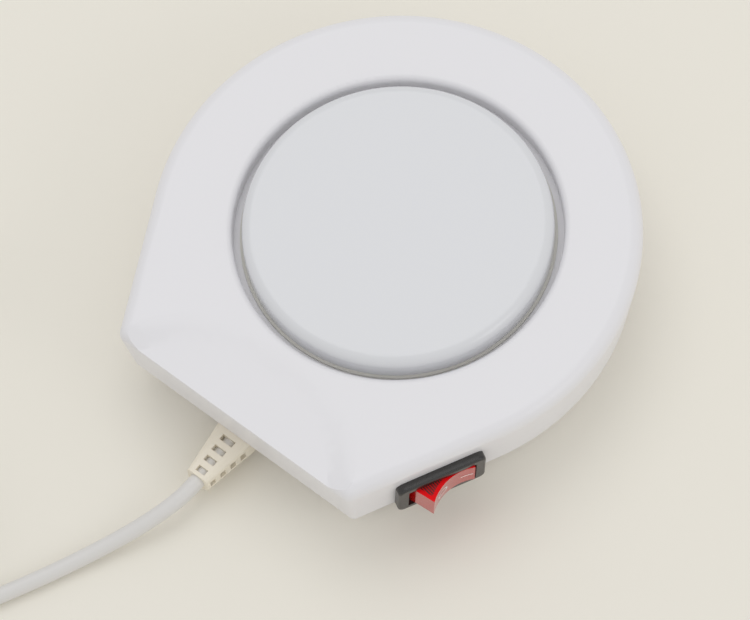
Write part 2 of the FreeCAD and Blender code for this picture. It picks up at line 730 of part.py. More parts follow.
def rocker_profile(wall):
    """The rocker's side view about its pivot, unturned, thinned by the wall on every side."""
    half = ROCKER_HALF - wall
    tip_x = ROCKER_TIP_X - wall
    tip_y = ROCKER_TIP_Y - wall
    mid_y = ROCKER_MID_Y - wall
    base = ROCKER_BASE_Y if wall == 0 else ROCKER_BASE_Y - 1
    half_high = ROCKER_HIGH / 2 - wall
    level = -half_high
    right = [V(half, base, level), V(half, ROCKER_SHOULDER_Y, level), V(tip_x, tip_y, level)]
    left = [mirrored(p) for p in right]
    edges = [
        Part.LineSegment(left[0], right[0]),
        Part.LineSegment(right[0], right[1]),
        Part.LineSegment(right[1], right[2]),
        Part.Arc(right[2], V(0, mid_y, level), left[2]),
        Part.LineSegment(left[2], left[1]),
        Part.LineSegment(left[1], left[0]),
    ]
    face = Part.Face(Part.Wire([edge.toShape() for edge in edges]))
    return face.extrude(V(0, 0, 2 * half_high))


def at_pivot(shape):
    """Turn a rocker piece to the ON position and carry it to the pivot."""
    placed = shape.copy()
    placed.rotate(V(0, 0, 0), UP, ROCKER_TILT)
    placed.translate(V(0, PIVOT_Y, 0))
    return on_side_wall(placed)


def make_switch_rocker():
    skin = rocker_profile(0).cut(rocker_profile(ROCKER_WALL))
    guide = rod(GUIDE_R, V(0, ROCKER_MID_Y - ROCKER_WALL + 0.3, 0), V(0, -GUIDE_END, 0))
    trunnions = rod(TRUNNION_R, V(0, 0, -HOUSING_HIGH / 2 + 0.1), V(0, 0, HOUSING_HIGH / 2 - 0.1))
    trunnions = trunnions.cut(box(-3, 3, -3, 3, -ROCKER_HIGH / 2 + 0.5, ROCKER_HIGH / 2 - 0.5))
    spring_way = rod(PLUNGER_R + SPRING_WIRE + 0.1, V(0, SPRING_SEAT, 0), V(0, -GUIDE_END - 1, 0))
    ribs = []
    rib_top = ROCKER_MID_Y - ROCKER_WALL + 0.8
    for x in (-LAMP_X, LAMP_X):
        for z in (-1, 1):
            z0, z1 = sorted((z * (ROCKER_HIGH / 2 - ROCKER_WALL + 0.2), z * RIB_END))
            ribs.append(box(x - RIB_HALF, x + RIB_HALF, RIB_LOW, rib_top, z0, z1))
    whole = skin.fuse(guide).fuse(trunnions)
    for rib in ribs:
        whole = whole.fuse(rib)
    lamp_end = V(0, 0, LAMP_LONG / 2 + 0.1)
    resistor_end = V(0, 0, RESISTOR_SPAN / 2 + 0.1)
    seats = [rod(LAMP_R + 0.1, LAMP_AT - lamp_end, LAMP_AT + lamp_end),
             rod(RESISTOR_R + 0.1, RESISTOR_AT - resistor_end, RESISTOR_AT + resistor_end)]
    return at_pivot(cut(whole, [spring_way] + seats).removeSplitter())


def make_neon_lamp():
    half = V(0, 0, LAMP_LONG / 2)
    return at_pivot(rod(LAMP_R, LAMP_AT - half, LAMP_AT + half))


def make_lamp_resistor():
    half = V(0, 0, RESISTOR_LONG / 2)
    reach = V(0, 0, RESISTOR_SPAN / 2)
    body = rod(RESISTOR_R, RESISTOR_AT - half, RESISTOR_AT + half)
    leads = rod(RESISTOR_WIRE_R, RESISTOR_AT - reach, RESISTOR_AT + reach)
    return at_pivot(body.fuse(leads))


def make_switch_plunger():
    tip_centre = V(0, -PLUNGER_TIP + PLUNGER_R, 0)
    shank = rod(PLUNGER_R, tip_centre, V(0, -PLUNGER_TIP + PLUNGER_LONG, 0))
    return at_pivot(shank.fuse(Part.makeSphere(PLUNGER_R, tip_centre)).removeSplitter())


def make_switch_spring():
    """Closed coils between the plunger's back and the blind end of its guide."""
    low = -PLUNGER_TIP + PLUNGER_LONG
    high = SPRING_SEAT
    radius = PLUNGER_R - SPRING_WIRE / 2
    turn = (high - low - SPRING_WIRE) / SPRING_TURNS
    points = []
    quarters = SPRING_TURNS * 4
    for k in range(quarters + 1):
        angle = math.pi / 2 * k
        y = low + SPRING_WIRE / 2 + turn * k / 4
        heading = V(-radius * math.sin(angle), turn / (2 * math.pi), radius * math.cos(angle))
        points.append((V(radius * math.cos(angle), y, radius * math.sin(angle)), heading.normalize()))
    return at_pivot(sweep(biarc_path(points), SPRING_WIRE))


def blade_axis(reach):
    """The line that the blade see-saws on, from -reach to +reach."""
    return V(0, BLADE_Y - BLADE_THICK, -reach), V(0, BLADE_Y - BLADE_THICK, reach)


def make_contact_blade():
    """The see-saw blade under the plunger, tilted opposite to the rocker, on its round knife edge."""
    half = BLADE_LONG / 2
    under = BLADE_Y - BLADE_THICK
    strip = box(-half, half, under, BLADE_Y, -BLADE_WIDE / 2, BLADE_WIDE / 2)
    strip = strip.fuse(rod(KNIFE_R, *blade_axis(BLADE_WIDE / 2)))
    for side in (-1, 1):
        x = side * (half - CONTACT_R)
        strip = strip.fuse(rod(CONTACT_R, V(x, under, 0), V(x, under - CONTACT_THICK, 0)))
    return on_side_wall(turned(strip.removeSplitter(), -BLADE_TILT, V(0, under, 0)))


def tab(x):
    """A flat terminal through the housing's floor, at the place x along the switch."""
    floor = -HOUSING_DEEP + HOUSING_FLOOR
    end = -HOUSING_DEEP - TAB_OUT
    flat = box(x - TAB_THICK / 2, x + TAB_THICK / 2, end, floor, -TAB_WIDE / 2, TAB_WIDE / 2)
    hole = rod(TAB_HOLE_R, V(x - 2, end + TAB_HOLE_IN, 0), V(x + 2, end + TAB_HOLE_IN, 0))
    return flat.cut(hole)


def make_line_terminal():
    """The middle terminal, with a post whose rounded trough carries the blade."""
    floor = -HOUSING_DEEP + HOUSING_FLOOR
    top = BLADE_Y - BLADE_THICK - POST_DROP
    post = box(-POST_HALF, POST_HALF, floor, top, -TAB_WIDE / 2, TAB_WIDE / 2)
    trough = rod(KNIFE_R + KNIFE_FIT, *blade_axis(TAB_WIDE))
    return on_side_wall(tab(0).fuse(post).cut(trough).removeSplitter())


def contact_terminal(side):
    floor = -HOUSING_DEEP + HOUSING_FLOOR
    drop = math.sin(math.radians(BLADE_TILT)) * (BLADE_LONG / 2)
    top = BLADE_Y - BLADE_THICK - CONTACT_THICK - drop - 0.03
    x = side * TAB_STEP
    foot = box(min(x, side * 4.0), max(x, side * 4.0), floor, max(top, floor + 0.3), -1.8, 1.8)
    return on_side_wall(tab(x).fuse(foot).removeSplitter())


# Cord, strain relief and clamp

RELIEF_START = FRONT_Y + lean_in(SKIRT_Z) + TRAY_STEP
RELIEF_END_Y = RELIEF_START - RELIEF_LONG


def cross_section(y, wide, high):
    """A rounded rectangle across Y on the cord's axis."""
    plate = rounded_plate(wide, high, RELIEF_CORNER_R, 0, 1)
    face = [f for f in plate.Faces if f.BoundBox.YMax < 0.01][0]
    wire = face.OuterWire.copy()
    wire.translate(V(CORD_X, y, CORD_Z))
    return wire


def relief_windows():
    """Rows of windows on the four sides of the sleeve, open as far as the cord."""
    windows = []
    for row in range(RELIEF_ROWS):
        far = RELIEF_START - WINDOW_FIRST - row * WINDOW_STEP
        near = far - WINDOW_LONG
        share = (RELIEF_START - far) / RELIEF_LONG
        wide = RELIEF_BASE + (RELIEF_END - RELIEF_BASE) * share
        high = RELIEF_BASE_HIGH + (RELIEF_END_HIGH - RELIEF_BASE_HIGH) * share
        w = wide * WINDOW_SHARE
        h = high * WINDOW_SHARE
        windows.append(box(CORD_X - w, CORD_X + w, near, far, CORD_Z - high, CORD_Z + high))
        windows.append(box(CORD_X - wide, CORD_X + wide, near, far, CORD_Z - h, CORD_Z + h))
    return windows


def make_strain_relief():
    """Tapered flexible sleeve with rows of windows, a collar, a groove for the wall and an inner flange."""
    body = Part.makeLoft([
        cross_section(RELIEF_END_Y, RELIEF_END, RELIEF_END_HIGH),
        cross_section(RELIEF_START, RELIEF_BASE, RELIEF_BASE_HIGH),
    ], True, True)
    collar = rounded_plate(RELIEF_BASE, RELIEF_BASE_HIGH, RELIEF_CORNER_R, RELIEF_START, GROOVE_Y)
    groove = rounded_plate(RELIEF_GROOVE, RELIEF_GROOVE_HIGH, RELIEF_CORNER_R, GROOVE_Y, FLANGE_Y)
    flange_high = 2 * (CORD_Z - FLOOR_Z - 0.05)
    flange = rounded_plate(FLANGE_WIDE, flange_high, RELIEF_CORNER_R, FLANGE_Y, FLANGE_Y + INNER_FLANGE)
    for piece in (collar, groove, flange):
        piece.translate(V(CORD_X, 0, CORD_Z))
        body = body.fuse(piece)
    low = V(CORD_X, RELIEF_END_Y - 1, CORD_Z)
    high = V(CORD_X, FLANGE_Y + 5, CORD_Z)
    bore = rod(CORD_DIA / 2 + CORD_BORE_FIT, low, high)
    return cut(body, relief_windows() + [bore]).removeSplitter()


CORD_IN_Y = front_wall_y(CORD_Z) + CORD_INSIDE


def make_cord_inside():
    """The sheathed cord from the strain relief's mouth to past the clamp."""
    return rod(CORD_DIA / 2, V(CORD_X, RELIEF_END_Y, CORD_Z), V(CORD_X, CORD_IN_Y, CORD_Z))


def make_cord_clamp():
    half = CLAMP_BAR_LONG / 2
    low = CORD_Z + CORD_DIA / 2 - 0.2
    back = CLAMP_BAR_Y + CLAMP_BAR_WIDE / 2
    bar = box(CORD_X - half, CORD_X + half, back - CLAMP_BAR_WIDE, back, low, low + CLAMP_BAR_THICK)
    ends = [e for e in bar.Edges if abs(e.tangentAt(e.FirstParameter).z) > 0.9]
    bar = bar.makeFillet(CLAMP_POST_R - 0.1, ends)
    holes = [disc(CLAMP_SCREW_R + THREAD, low - 1, low + 5, x, CLAMP_BAR_Y) for x in clamp_screw_xs()]
    return cut(bar, [clamped_cord(0.02)] + holes)


def clamp_screw_xs():
    return [CORD_X + side * (CLAMP_BAR_LONG / 2 - CLAMP_POST_R) for side in (-1, 1)]


def make_clamp_screws():
    top = CORD_Z + CORD_DIA / 2 - 0.2 + CLAMP_BAR_THICK
    screws = []
    for x in clamp_screw_xs():
        head = disc(CLAMP_HEAD_R, top, top + CLAMP_HEAD_HIGH, x, CLAMP_BAR_Y)
        shank = disc(CLAMP_SCREW_R - THREAD, top - 4.5, top + 0.2, x, CLAMP_BAR_Y)
        slot = box(x - 3, x + 3, CLAMP_BAR_Y - 0.3, CLAMP_BAR_Y + 0.3, top + CLAMP_HEAD_HIGH - 0.7, top + 5)
        screws.append(head.fuse(shank).cut(slot))
    return group(screws)


# Wires and cords

def arc_between(a, heading, b):
    """The arc that leaves a along the heading and ends at b, or a straight line where they are in line."""
    chord = b - a
    across = chord - heading * chord.dot(heading)
    if across.Length < 1e-6 * chord.Length:
        return Part.LineSegment(a, b)
    normal = V(across).normalize()
    radius = chord.dot(chord) / (2 * chord.dot(normal))
    centre = a + normal * radius
    mid = ((a - centre) + (b - centre)).normalize()
    return Part.Arc(a, centre + mid * radius, b)


def biarc_path(points):
    """A smooth path of arcs through points that each come with a heading."""
    edges = []
    for (p, t), (q, u) in zip(points, points[1:]):
        v = q - p
        a = 2 * (t.dot(u) - 1)
        b = -2 * v.dot(t + u)
        c = v.dot(v)
        reach = -c / b if abs(a) < 1e-9 else (-b - math.sqrt(b * b - 4 * a * c)) / (2 * a)
        joint = (p + t * reach + q - u * reach) * 0.5
        edges.append(arc_between(p, t, joint))
        arriving = arc_between(q, u * -1, joint)
        if isinstance(arriving, Part.Arc):
            low, high = arriving.FirstParameter, arriving.LastParameter
            edges.append(Part.Arc(joint, arriving.value((low + high) / 2), q))
        else:
            edges.append(Part.LineSegment(joint, q))
    return Part.Wire([edge.toShape() for edge in edges])


def sweep(path, diameter):
    start = path.Edges[0]
    heading = start.tangentAt(start.FirstParameter)
    circle = Part.Circle(start.valueAt(start.FirstParameter), heading, diameter / 2)
    return path.makePipeShell([Part.Wire([circle.toShape()])], True, False)


def bent_path(points, name=None):
    """Straight runs joined by tangent arcs, each as large as its two runs allow."""
    points = [V(p) for p in points]
    edges = []
    last = points[0]
    for before, here, after in zip(points, points[1:], points[2:]):
        into = (here - before).normalize()
        out = (after - here).normalize()
        half_turn = math.acos(max(-1.0, min(1.0, into.dot(out)))) / 2
        back = 0.45 * min((here - before).Length, (after - here).Length)
        start = here - into * back
        end = here + out * back
        edges.append(Part.LineSegment(last, start))
        bend = arc_between(start, into, end)
        edges.append(bend)
        if name:
            print(name, "bend radius", round(back / math.tan(half_turn), 1))
        last = end
    edges.append(Part.LineSegment(last, points[-1]))
    return Part.Wire([edge.toShape() for edge in edges])


def tab_end(x):
    """The far end of the terminal at x along the switch, in the body's frame."""
    mark = Part.Vertex(x, -HOUSING_DEEP - TAB_OUT, 0)
    return on_side_wall(mark).Vertexes[0].Point


def sleeve(x):
    """Insulating sleeve over a terminal and its wire."""
    near = -HOUSING_DEEP - 0.6
    far = -HOUSING_DEEP - TAB_OUT - SLEEVE_OVER
    outer = rounded_plate(SLEEVE_WIDE, TAB_WIDE + 2 * SLEEVE_WALL, 0.8, far, near)
    half_thick = TAB_THICK / 2 + 0.05
    half_wide = TAB_WIDE / 2 + 0.05
    inner = box(-half_thick, half_thick, far - 1, near + 1, -half_wide, half_wide)
    wire_way = rod(CORE_DIA / 2 + 0.05, V(0, far - 1, 0), V(0, -HOUSING_DEEP - TAB_OUT + 0.5, 0))
    shape = cut(outer, [inner, wire_way])
    shape.translate(V(x, 0, 0))
    return on_side_wall(shape)


def make_terminal_sleeves():
    return group([sleeve(x) for x in (-TAB_STEP, 0, TAB_STEP)])


CAP_LONG = 11.0
CAP_R = 3.0
CAP_WALL = 0.7
CAP_HEIGHT = 3.4
CAP_DEEP = 7.0
CAP_SADDLE = 1.6
WIRE_IN_CAP = 3.5
CAP_SEAT = V(0, 0, FLOOR_Z + CAP_HEIGHT)
NEUTRAL_CAP = V(-9.0, -6.0, 0) + CAP_SEAT
SWITCHED_CAP = V(30.0, 14.0, 0) + CAP_SEAT


def crimp_cap(at):
    """A closed-end cap whose mouth faces the front."""
    heading = V(0, -1, 0)
    body = rod(CAP_R, at, at + heading * CAP_LONG)
    way = rod(CAP_R - CAP_WALL, at + heading * (CAP_LONG - CAP_DEEP), at + heading * (CAP_LONG + 1))
    top = at.z - CAP_R + 0.4
    saddle = box(at.x - CAP_SADDLE, at.x + CAP_SADDLE, at.y - CAP_LONG, at.y, FLOOR_Z, top)
    return body.cut(way).fuse(saddle).removeSplitter()


def make_crimp_caps():
    return group([crimp_cap(NEUTRAL_CAP), crimp_cap(SWITCHED_CAP)])


def into_cap(cap, dx, dz):
    """A wire's last two points, straight into the cap's mouth."""
    inside = cap + V(dx, -CAP_LONG + WIRE_IN_CAP, dz)
    return [inside - V(0, 4.0, 0), inside]


def from_cord(side):
    """A core's first two points, straight out of the cord's sheath."""
    core = V(CORD_X + side * CORE_APART, CORD_IN_Y, CORD_Z)
    return [core, core + V(0, 2.4, 0)]


def from_tab(x, straight):
    """A wire's first points from the terminal at x along the switch, straight out of its sleeve."""
    lean = math.atan(SIDE_LEAN)
    inward = SIDE_NORMAL * -math.cos(lean) + UP * math.sin(lean)
    end = tab_end(x)
    return [end, end + inward * straight]


def wire(points, diameter=CORE_DIA):
    return sweep(bent_path(points), diameter)


def make_live_wire():
    way = from_cord(1) + [V(1.6, -23.5, 6.4), V(8.0, -20.2, 9.5), V(13.0, -20.0, 15.0)]
    return wire(way + from_tab(0, 6.0)[::-1])


def make_neutral_wire():
    way = from_cord(-1) + [V(-6.4, -24.5, 6.0), V(-9.95, -22.5, 6.2)]
    return wire(way + into_cap(NEUTRAL_CAP, -0.95, -0.5))


def make_lamp_wire():
    bends = [V(16.5, -13.5, 9.0), V(8.0, -14.0, 6.5), V(0.0, -19.5, 6.3), V(-5.2, -20.8, 6.2)]
    return wire(from_tab(-TAB_STEP, 4.6) + bends + into_cap(NEUTRAL_CAP, 0.95, -0.5))


def make_switched_wire():
    way = from_tab(TAB_STEP, 5.5) + [V(15.0, -24.0, 9.0), V(24.0, -14.0, 7.2), V(30.0, -8.0, CAP_SEAT.z)]
    return wire(way + into_cap(SWITCHED_CAP, 0.95, 0))


def lead_through(side, low):
    """The straight part of a heater lead, from the ribbon's end down through the stack."""
    x = side * LEAD_HOLE_X
    return [V(x, PLATE_Y, RIBBON_TOP - RIBBON_THICK), V(x, PLATE_Y, low)]


def make_heater_return_lead():
    way = lead_through(1, 12.0) + [V(12.0, -6.0, 8.8), V(2.0, -17.0, 8.6), V(-5.0, -22.3, 8.4)]
    return wire(way + into_cap(NEUTRAL_CAP, 0, 1.2))


def make_heater_feed_lead():
    fuse_lead = V(-FUSE_LONG / 2 - FUSE_LEAD, PLATE_Y + FUSE_Y, FUSE_Z)
    return wire(lead_through(-1, FUSE_Z) + [fuse_lead - V(3.5, 0, 0), fuse_lead])


def make_fuse_feed_wire():
    start = V(FUSE_LONG / 2 + FUSE_LEAD, PLATE_Y + FUSE_Y, FUSE_Z)
    x, y = FUSE_LEAD_HOLE[0], PLATE_Y + FUSE_LEAD_HOLE[1]
    down = [start, V(x, y, FUSE_Z), V(x, y, 11.0)]
    across = [V(19.0, 4.0, 8.0), V(24.0, -4.0, 7.0), V(28.4, -4.0, CAP_SEAT.z)]
    return wire(down + across + into_cap(SWITCHED_CAP, -0.95, 0))


# Free cord, coil and plug

def coil_point(turns):
    """Place and heading on the coil: wound in over the first half, out again one layer up."""
    half = COIL_TURNS / 2
    climb = 0.5
    angle = math.radians(COIL_START_ANGLE - 360 * turns)

    def shape(t):
        inward = min(t, COIL_TURNS - t, half - climb / 2)
        share = min(max((t - half + climb / 2) / climb, 0), 1)
        eased = share - math.sin(2 * math.pi * share) / (2 * math.pi)
        return COIL_R - COIL_PITCH * inward, COIL_Z + COIL_LAYER * eased

    radius, z = shape(turns)
    step = 1e-4
    ahead = min(turns + step, COIL_TURNS)
    behind = max(turns - step, 0)
    r_rate = (shape(ahead)[0] - shape(behind)[0]) / (ahead - behind)
    z_rate = (shape(ahead)[1] - shape(behind)[1]) / (ahead - behind)
    if turns < step or turns > COIL_TURNS - step:
        r_rate = 0
    turn = -2 * math.pi
    place = V(COIL_CENTRE[0] + radius * math.cos(angle), COIL_CENTRE[1] + radius * math.sin(angle), z)
    heading = V(
        r_rate * math.cos(angle) - radius * math.sin(angle) * turn,
        r_rate * math.sin(angle) + radius * math.cos(angle) * turn,
        z_rate,
    )
    return place, heading.normalize()


def coil_path():
    steps = round(COIL_TURNS * 4)
    points = [coil_point(COIL_TURNS * k / steps) for k in range(steps + 1)]
    first, heading = points[0]
    last, leaving = points[-1]
    coil = biarc_path(points)
    start = Part.LineSegment(first - heading * CORD_DIA, first).toShape()
    tail = Part.LineSegment(last, last + leaving * COIL_TAIL).toShape()
    return Part.Wire([start] + coil.Edges + [tail])


def least_gap(path, diameter):
    """The least clear distance between two turns, on points along the path."""
    points = []
    along = []
    run = 0
    for edge in path.Edges:
        count = max(2, int(edge.Length / 2.5))
        for k in range(count):
            low, high = edge.ParameterRange
            points.append(edge.valueAt(low + (high - low) * k / count))
            along.append(run + edge.Length * k / count)
        run += edge.Length
    least = 1e9
    for i, p in enumerate(points):
        for j in range(i + 1, len(points)):
            if along[j] - along[i] > 8 * diameter:
                least = min(least, (points[j] - p).Length)
    return least - diameter


def make_cord_coil():
    path = coil_path()
    print("coil length", round(path.Length, 1), "least gap", round(least_gap(path, CORD_DIA), 2))
    return sweep(path, CORD_DIA)


def make_mains_lead():
    first, heading = coil_point(0)
    start = (CORD_X, RELIEF_END_Y, CORD_Z)
    join = first - heading * CORD_DIA
    path = bent_path([start] + LEAD_ROUTE + [(join.x, join.y, join.z)], "mains_lead")
    tube = sweep(path, CORD_DIA)
    section = math.pi * CORD_DIA ** 2 / 4
    ratio = tube.Volume / section / path.Length
    print("mains_lead length", round(path.Length, 1), "volume ratio", round(ratio, 4))
    return tube


def at_plug(shape):
    """Move a plug piece, drawn along +Y from the cord's end, to the end of the coil's tail."""
    last, leaving = coil_point(COIL_TURNS)
    end = last + leaving * COIL_TAIL
    placed = shape.copy()
    placed.rotate(V(0, 0, 0), UP, math.degrees(math.atan2(leaving.y, leaving.x)) - 90)
    placed.translate(end)
    return placed


PLUG_HIGH = 2 * (COIL_Z + COIL_LAYER)


def make_plug_body():
    neck = Part.makeCone(PLUG_NECK / 2 - NECK_TAPER, PLUG_NECK / 2, PLUG_NECK_LONG, V(0, 0, 0), V(0, 1, 0))
    grip = rounded_plate(PLUG_WIDE, PLUG_HIGH, PLUG_CORNER_R, PLUG_NECK_LONG - 0.5, PLUG_NECK_LONG + PLUG_LONG)
    grip = grip.makeFillet(PLUG_EDGE_R, [e for e in grip.Edges if e.BoundBox.YMax < PLUG_NECK_LONG])
    rings = []
    for k in range(RING_COUNT):
        y = RING_FIRST + RING_STEP * k
        whole = rod(PLUG_NECK, V(0, y, 0), V(0, y + RING_WIDE, 0))
        core = rod(RING_R + RING_GROW * k, V(0, y - 1, 0), V(0, y + RING_WIDE + 1, 0))
        rings.append(whole.cut(core))
    body = cut(neck, rings).fuse(grip)
    slots = [plug_pin(side, 0.0) for side in (-1, 1)]
    return at_plug(cut(body, slots).removeSplitter())


PLUG_FACE = PLUG_NECK_LONG + PLUG_LONG


def plug_pin(side, out):
    x = side * PIN_APART / 2
    half = PIN_THICK / 2
    return box(x - half, x + half, PLUG_FACE - PIN_IN, PLUG_FACE + out, -PIN_WIDE / 2, PIN_WIDE / 2)


def make_plug_pins():
    pins = []
    hole_y = PLUG_FACE + PIN_LONG - PIN_HOLE_IN
    for side in (-1, 1):
        pin = plug_pin(side, PIN_LONG)
        across = [e for e in pin.Edges if abs(e.tangentAt(e.FirstParameter).x) > 0.9]
        end = [e for e in across if e.BoundBox.YMin > PLUG_FACE]
        pin = pin.makeFillet(PIN_CORNER_R, end)
        pins.append(at_plug(pin.cut(rod(PIN_HOLE_R, V(-20, hole_y, 0), V(20, hole_y, 0)))))
    return group(pins)


def make_cord_tie():
    """A flat tie round the coil's bundle, on the side away from the warmer."""
    inner_r = COIL_R - COIL_PITCH * (COIL_TURNS / 2 - 0.25) - CORD_DIA / 2
    r0 = inner_r - TIE_FIT
    r1 = COIL_R + CORD_DIA / 2 + TIE_FIT
    z1 = COIL_Z + COIL_LAYER + CORD_DIA / 2 + TIE_FIT
    angle = math.radians(TIE_ANGLE)
    outer = box(r0 - TIE_THICK, r1 + TIE_THICK, -TIE_WIDE / 2, TIE_WIDE / 2, 0.0, z1 + TIE_THICK)
    inner = box(r0, r1, -TIE_WIDE, TIE_WIDE, COIL_Z - CORD_DIA / 2 - 0.05, z1)
    tie = outer.cut(inner)
    tie.rotate(V(0, 0, 0), UP, math.degrees(angle))
    tie.translate(V(COIL_CENTRE[0], COIL_CENTRE[1], 0))
    return tie


def build_all():
    nodes = {
        "top_shell": make_top_shell(),
        "base_tray": make_base_tray(),
        "rubber_feet": make_feet(),
        "case_screws": make_case_screws(),
        "rating_label": make_rating_label(),
        "hot_plate": make_hot_plate(),
        "plate_gasket": make_plate_gasket(),
        "upper_mica": heater_sheet(MICA_R, HEATER_TOP, MICA_THICK, False),
        "heater_ribbon": make_heater_ribbon(),
        "lower_mica": heater_sheet(MICA_R, LOWER_MICA_TOP, MICA_THICK),
        "insulation_pad": heater_sheet(MICA_R, PAD_TOP, PAD_THICK),
        "clamp_plate": heater_sheet(CLAMP_R, CLAMP_TOP, CLAMP_THICK),
        "stud_washers": make_washers(),
        "clamp_nut": stud_nut(CLAMP_BOTTOM - WASHER_THICK),
        "heat_shield": make_heat_shield(),
        "shield_nut": stud_nut(SHIELD_FLOOR - WASHER_THICK),
        "thermal_fuse": make_thermal_fuse(),
        "fuse_clip": make_fuse_clip(),
        "switch_housing": make_switch_housing(),
        "switch_rocker": make_switch_rocker(),
        "neon_lamp": make_neon_lamp(),
        "lamp_resistor": make_lamp_resistor(),
        "switch_plunger": make_switch_plunger(),
        "switch_spring": make_switch_spring(),
        "contact_blade": make_contact_blade(),
        "line_terminal": make_line_terminal(),
        "load_terminal": contact_terminal(1),
        "lamp_terminal": contact_terminal(-1),
        "terminal_sleeves": make_terminal_sleeves(),
        "strain_relief": make_strain_relief(),
        "cord_inside": make_cord_inside(),
        "cord_clamp": make_cord_clamp(),
        "clamp_screws": make_clamp_screws(),
        "crimp_caps": make_crimp_caps(),
        "live_wire": make_live_wire(),
        "neutral_wire": make_neutral_wire(),
        "lamp_wire": make_lamp_wire(),
        "switched_wire": make_switched_wire(),
        "heater_return_lead": make_heater_return_lead(),
        "heater_feed_lead": make_heater_feed_lead(),
        "fuse_feed_wire": make_fuse_feed_wire(),
        "mains_lead": make_mains_lead(),
        "cord_coil": make_cord_coil(),
        "plug_body": make_plug_body(),
        "plug_pins": make_plug_pins(),
        "cord_tie": make_cord_tie(),
    }
    return nodes


def main():
    os.makedirs("parts", exist_ok=True)
    for name, shape in build_all().items():
        shape.exportStep(os.path.join("parts", name + ".step"))
        box_of = shape.BoundBox
        print(
            f"{name:18s} solids {len(shape.Solids)} valid {shape.isValid()} volume {shape.Volume:10.1f}",
            f"x {box_of.XMin:7.1f} {box_of.XMax:7.1f} y {box_of.YMin:7.1f} {box_of.YMax:7.1f}",
            f"z {box_of.ZMin:6.2f} {box_of.ZMax:6.2f}",
        )


if __name__ == "__main__":
    main()
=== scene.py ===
import json
import math

import bmesh
import bpy
from bpy.props import FloatProperty, FloatVectorProperty, IntProperty, PointerProperty
from mathutils import Matrix, Vector


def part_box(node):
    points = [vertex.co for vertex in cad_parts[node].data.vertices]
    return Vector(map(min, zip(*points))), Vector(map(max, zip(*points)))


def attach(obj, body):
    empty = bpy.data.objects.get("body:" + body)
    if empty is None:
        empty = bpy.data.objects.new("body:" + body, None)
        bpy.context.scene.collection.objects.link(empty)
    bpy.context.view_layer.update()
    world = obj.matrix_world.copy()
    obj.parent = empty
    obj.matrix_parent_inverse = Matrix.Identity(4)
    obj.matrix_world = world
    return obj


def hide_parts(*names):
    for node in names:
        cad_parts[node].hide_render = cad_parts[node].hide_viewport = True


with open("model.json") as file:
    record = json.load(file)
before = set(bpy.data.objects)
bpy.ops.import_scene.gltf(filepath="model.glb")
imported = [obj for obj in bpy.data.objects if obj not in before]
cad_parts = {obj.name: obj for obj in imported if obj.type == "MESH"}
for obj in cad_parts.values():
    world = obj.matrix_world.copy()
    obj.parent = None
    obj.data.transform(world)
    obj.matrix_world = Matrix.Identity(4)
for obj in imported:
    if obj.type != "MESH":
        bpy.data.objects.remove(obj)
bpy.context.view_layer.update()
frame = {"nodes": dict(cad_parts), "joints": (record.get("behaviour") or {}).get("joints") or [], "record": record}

bl_info = {
    "name": "Mug warmer",
    "version": (1, 0, 0),
    "blender": (4, 5, 0),
    "location": "View3D > Sidebar > Mug warmer",
    "description": "Dresses an electric mug warmer with its finishes, switch, cord and studio",
    "category": "Object",
}

MM = 0.001
NODES = frame["nodes"]

# Picture camera, in degrees: the way from the object to it, and its turn about that way
VIEW_AZIMUTH = -45.172
VIEW_HEIGHT = 64.029
VIEW_ROLL = -6.284
# The point it is set out from, and how far it then stands left and down, in millimetres
VIEW_POINT = (0, 2.0, 0)
VIEW_LEFT = 6.422
VIEW_DOWN = 6.698
SENSOR_MM = 36.0

# Studio, in metres: half the floor's side, then each lamp's name, place, width and share of the lamp power
FLOOR_REACH = 3.0
LAMPS = (
    ("overhead_softbox", (-0.35, 0.25, 1.1), 0.9, 1.0),
    ("side_softbox", (0.9, 0.1, 0.6), 0.5, 0.35),
)

# Finishes: size of the broad colour drift, depth of the grain as a share of its size, and merging distance
BROAD_MM = 18
GRAIN_DEPTH = 0.3
MERGE_MM = 0.002

# Rubber feet, in millimetres: radius, place of the front pair, and the dished underside as (radius, height)
FOOT_R = 5.0
FOOT_FRONT_X = 24.5
FOOT_DISH = [(0, 0.35), (2.6, 0.35), (3.0, 0.05), (3.3, 0), (4.5, 0), (4.85, 0.12), (FOOT_R, 0.45)]
FOOT_STEPS = 40

# Rocker, in millimetres in the switch's own frame: X to the front, Y out, Z up the wall
ROCKER_TILT = math.radians(17.5)
ROCKER_HIGH = 8.8
ROCKER_HALF = 7.7
SHOULDER_Y = 0.5
TIP_X = 6.1
TIP_Y = 6.25
FACE_Y = 4.45
FACE_R = (TIP_X ** 2 + (TIP_Y - FACE_Y) ** 2) / (2 * (TIP_Y - FACE_Y))
FACE_CENTRE = FACE_Y + FACE_R

# Marks, coloured sides and ribs on the rocker, in millimetres
OFF_MARK_X = 2.3
ON_MARK_X = -4.4
INK_PROUD = 0.03
SKIN_THICK = 0.04
SKIRT_LOW = -1.2
SIDE_INSET = 0.04
SIDE_PROUD = 0.01
RIB_PROUD = 0.05
RING_STEPS = 48
BAR_STEPS = 8
ARC_STEPS = 16

# Put-away coil, in millimetres, degrees and turns, and the cord's tail from it to the plug
COIL_CENTRE = (-60.2, -124.2, 1.95)
COIL_START = -26
COIL_CLIMB = 0.5
POINTS_PER_TURN = 16
TAIL_X = -90.7
TAIL_BEND = 1.5
TAIL_RUN = 12
PLUG_ENTRY = 0.4

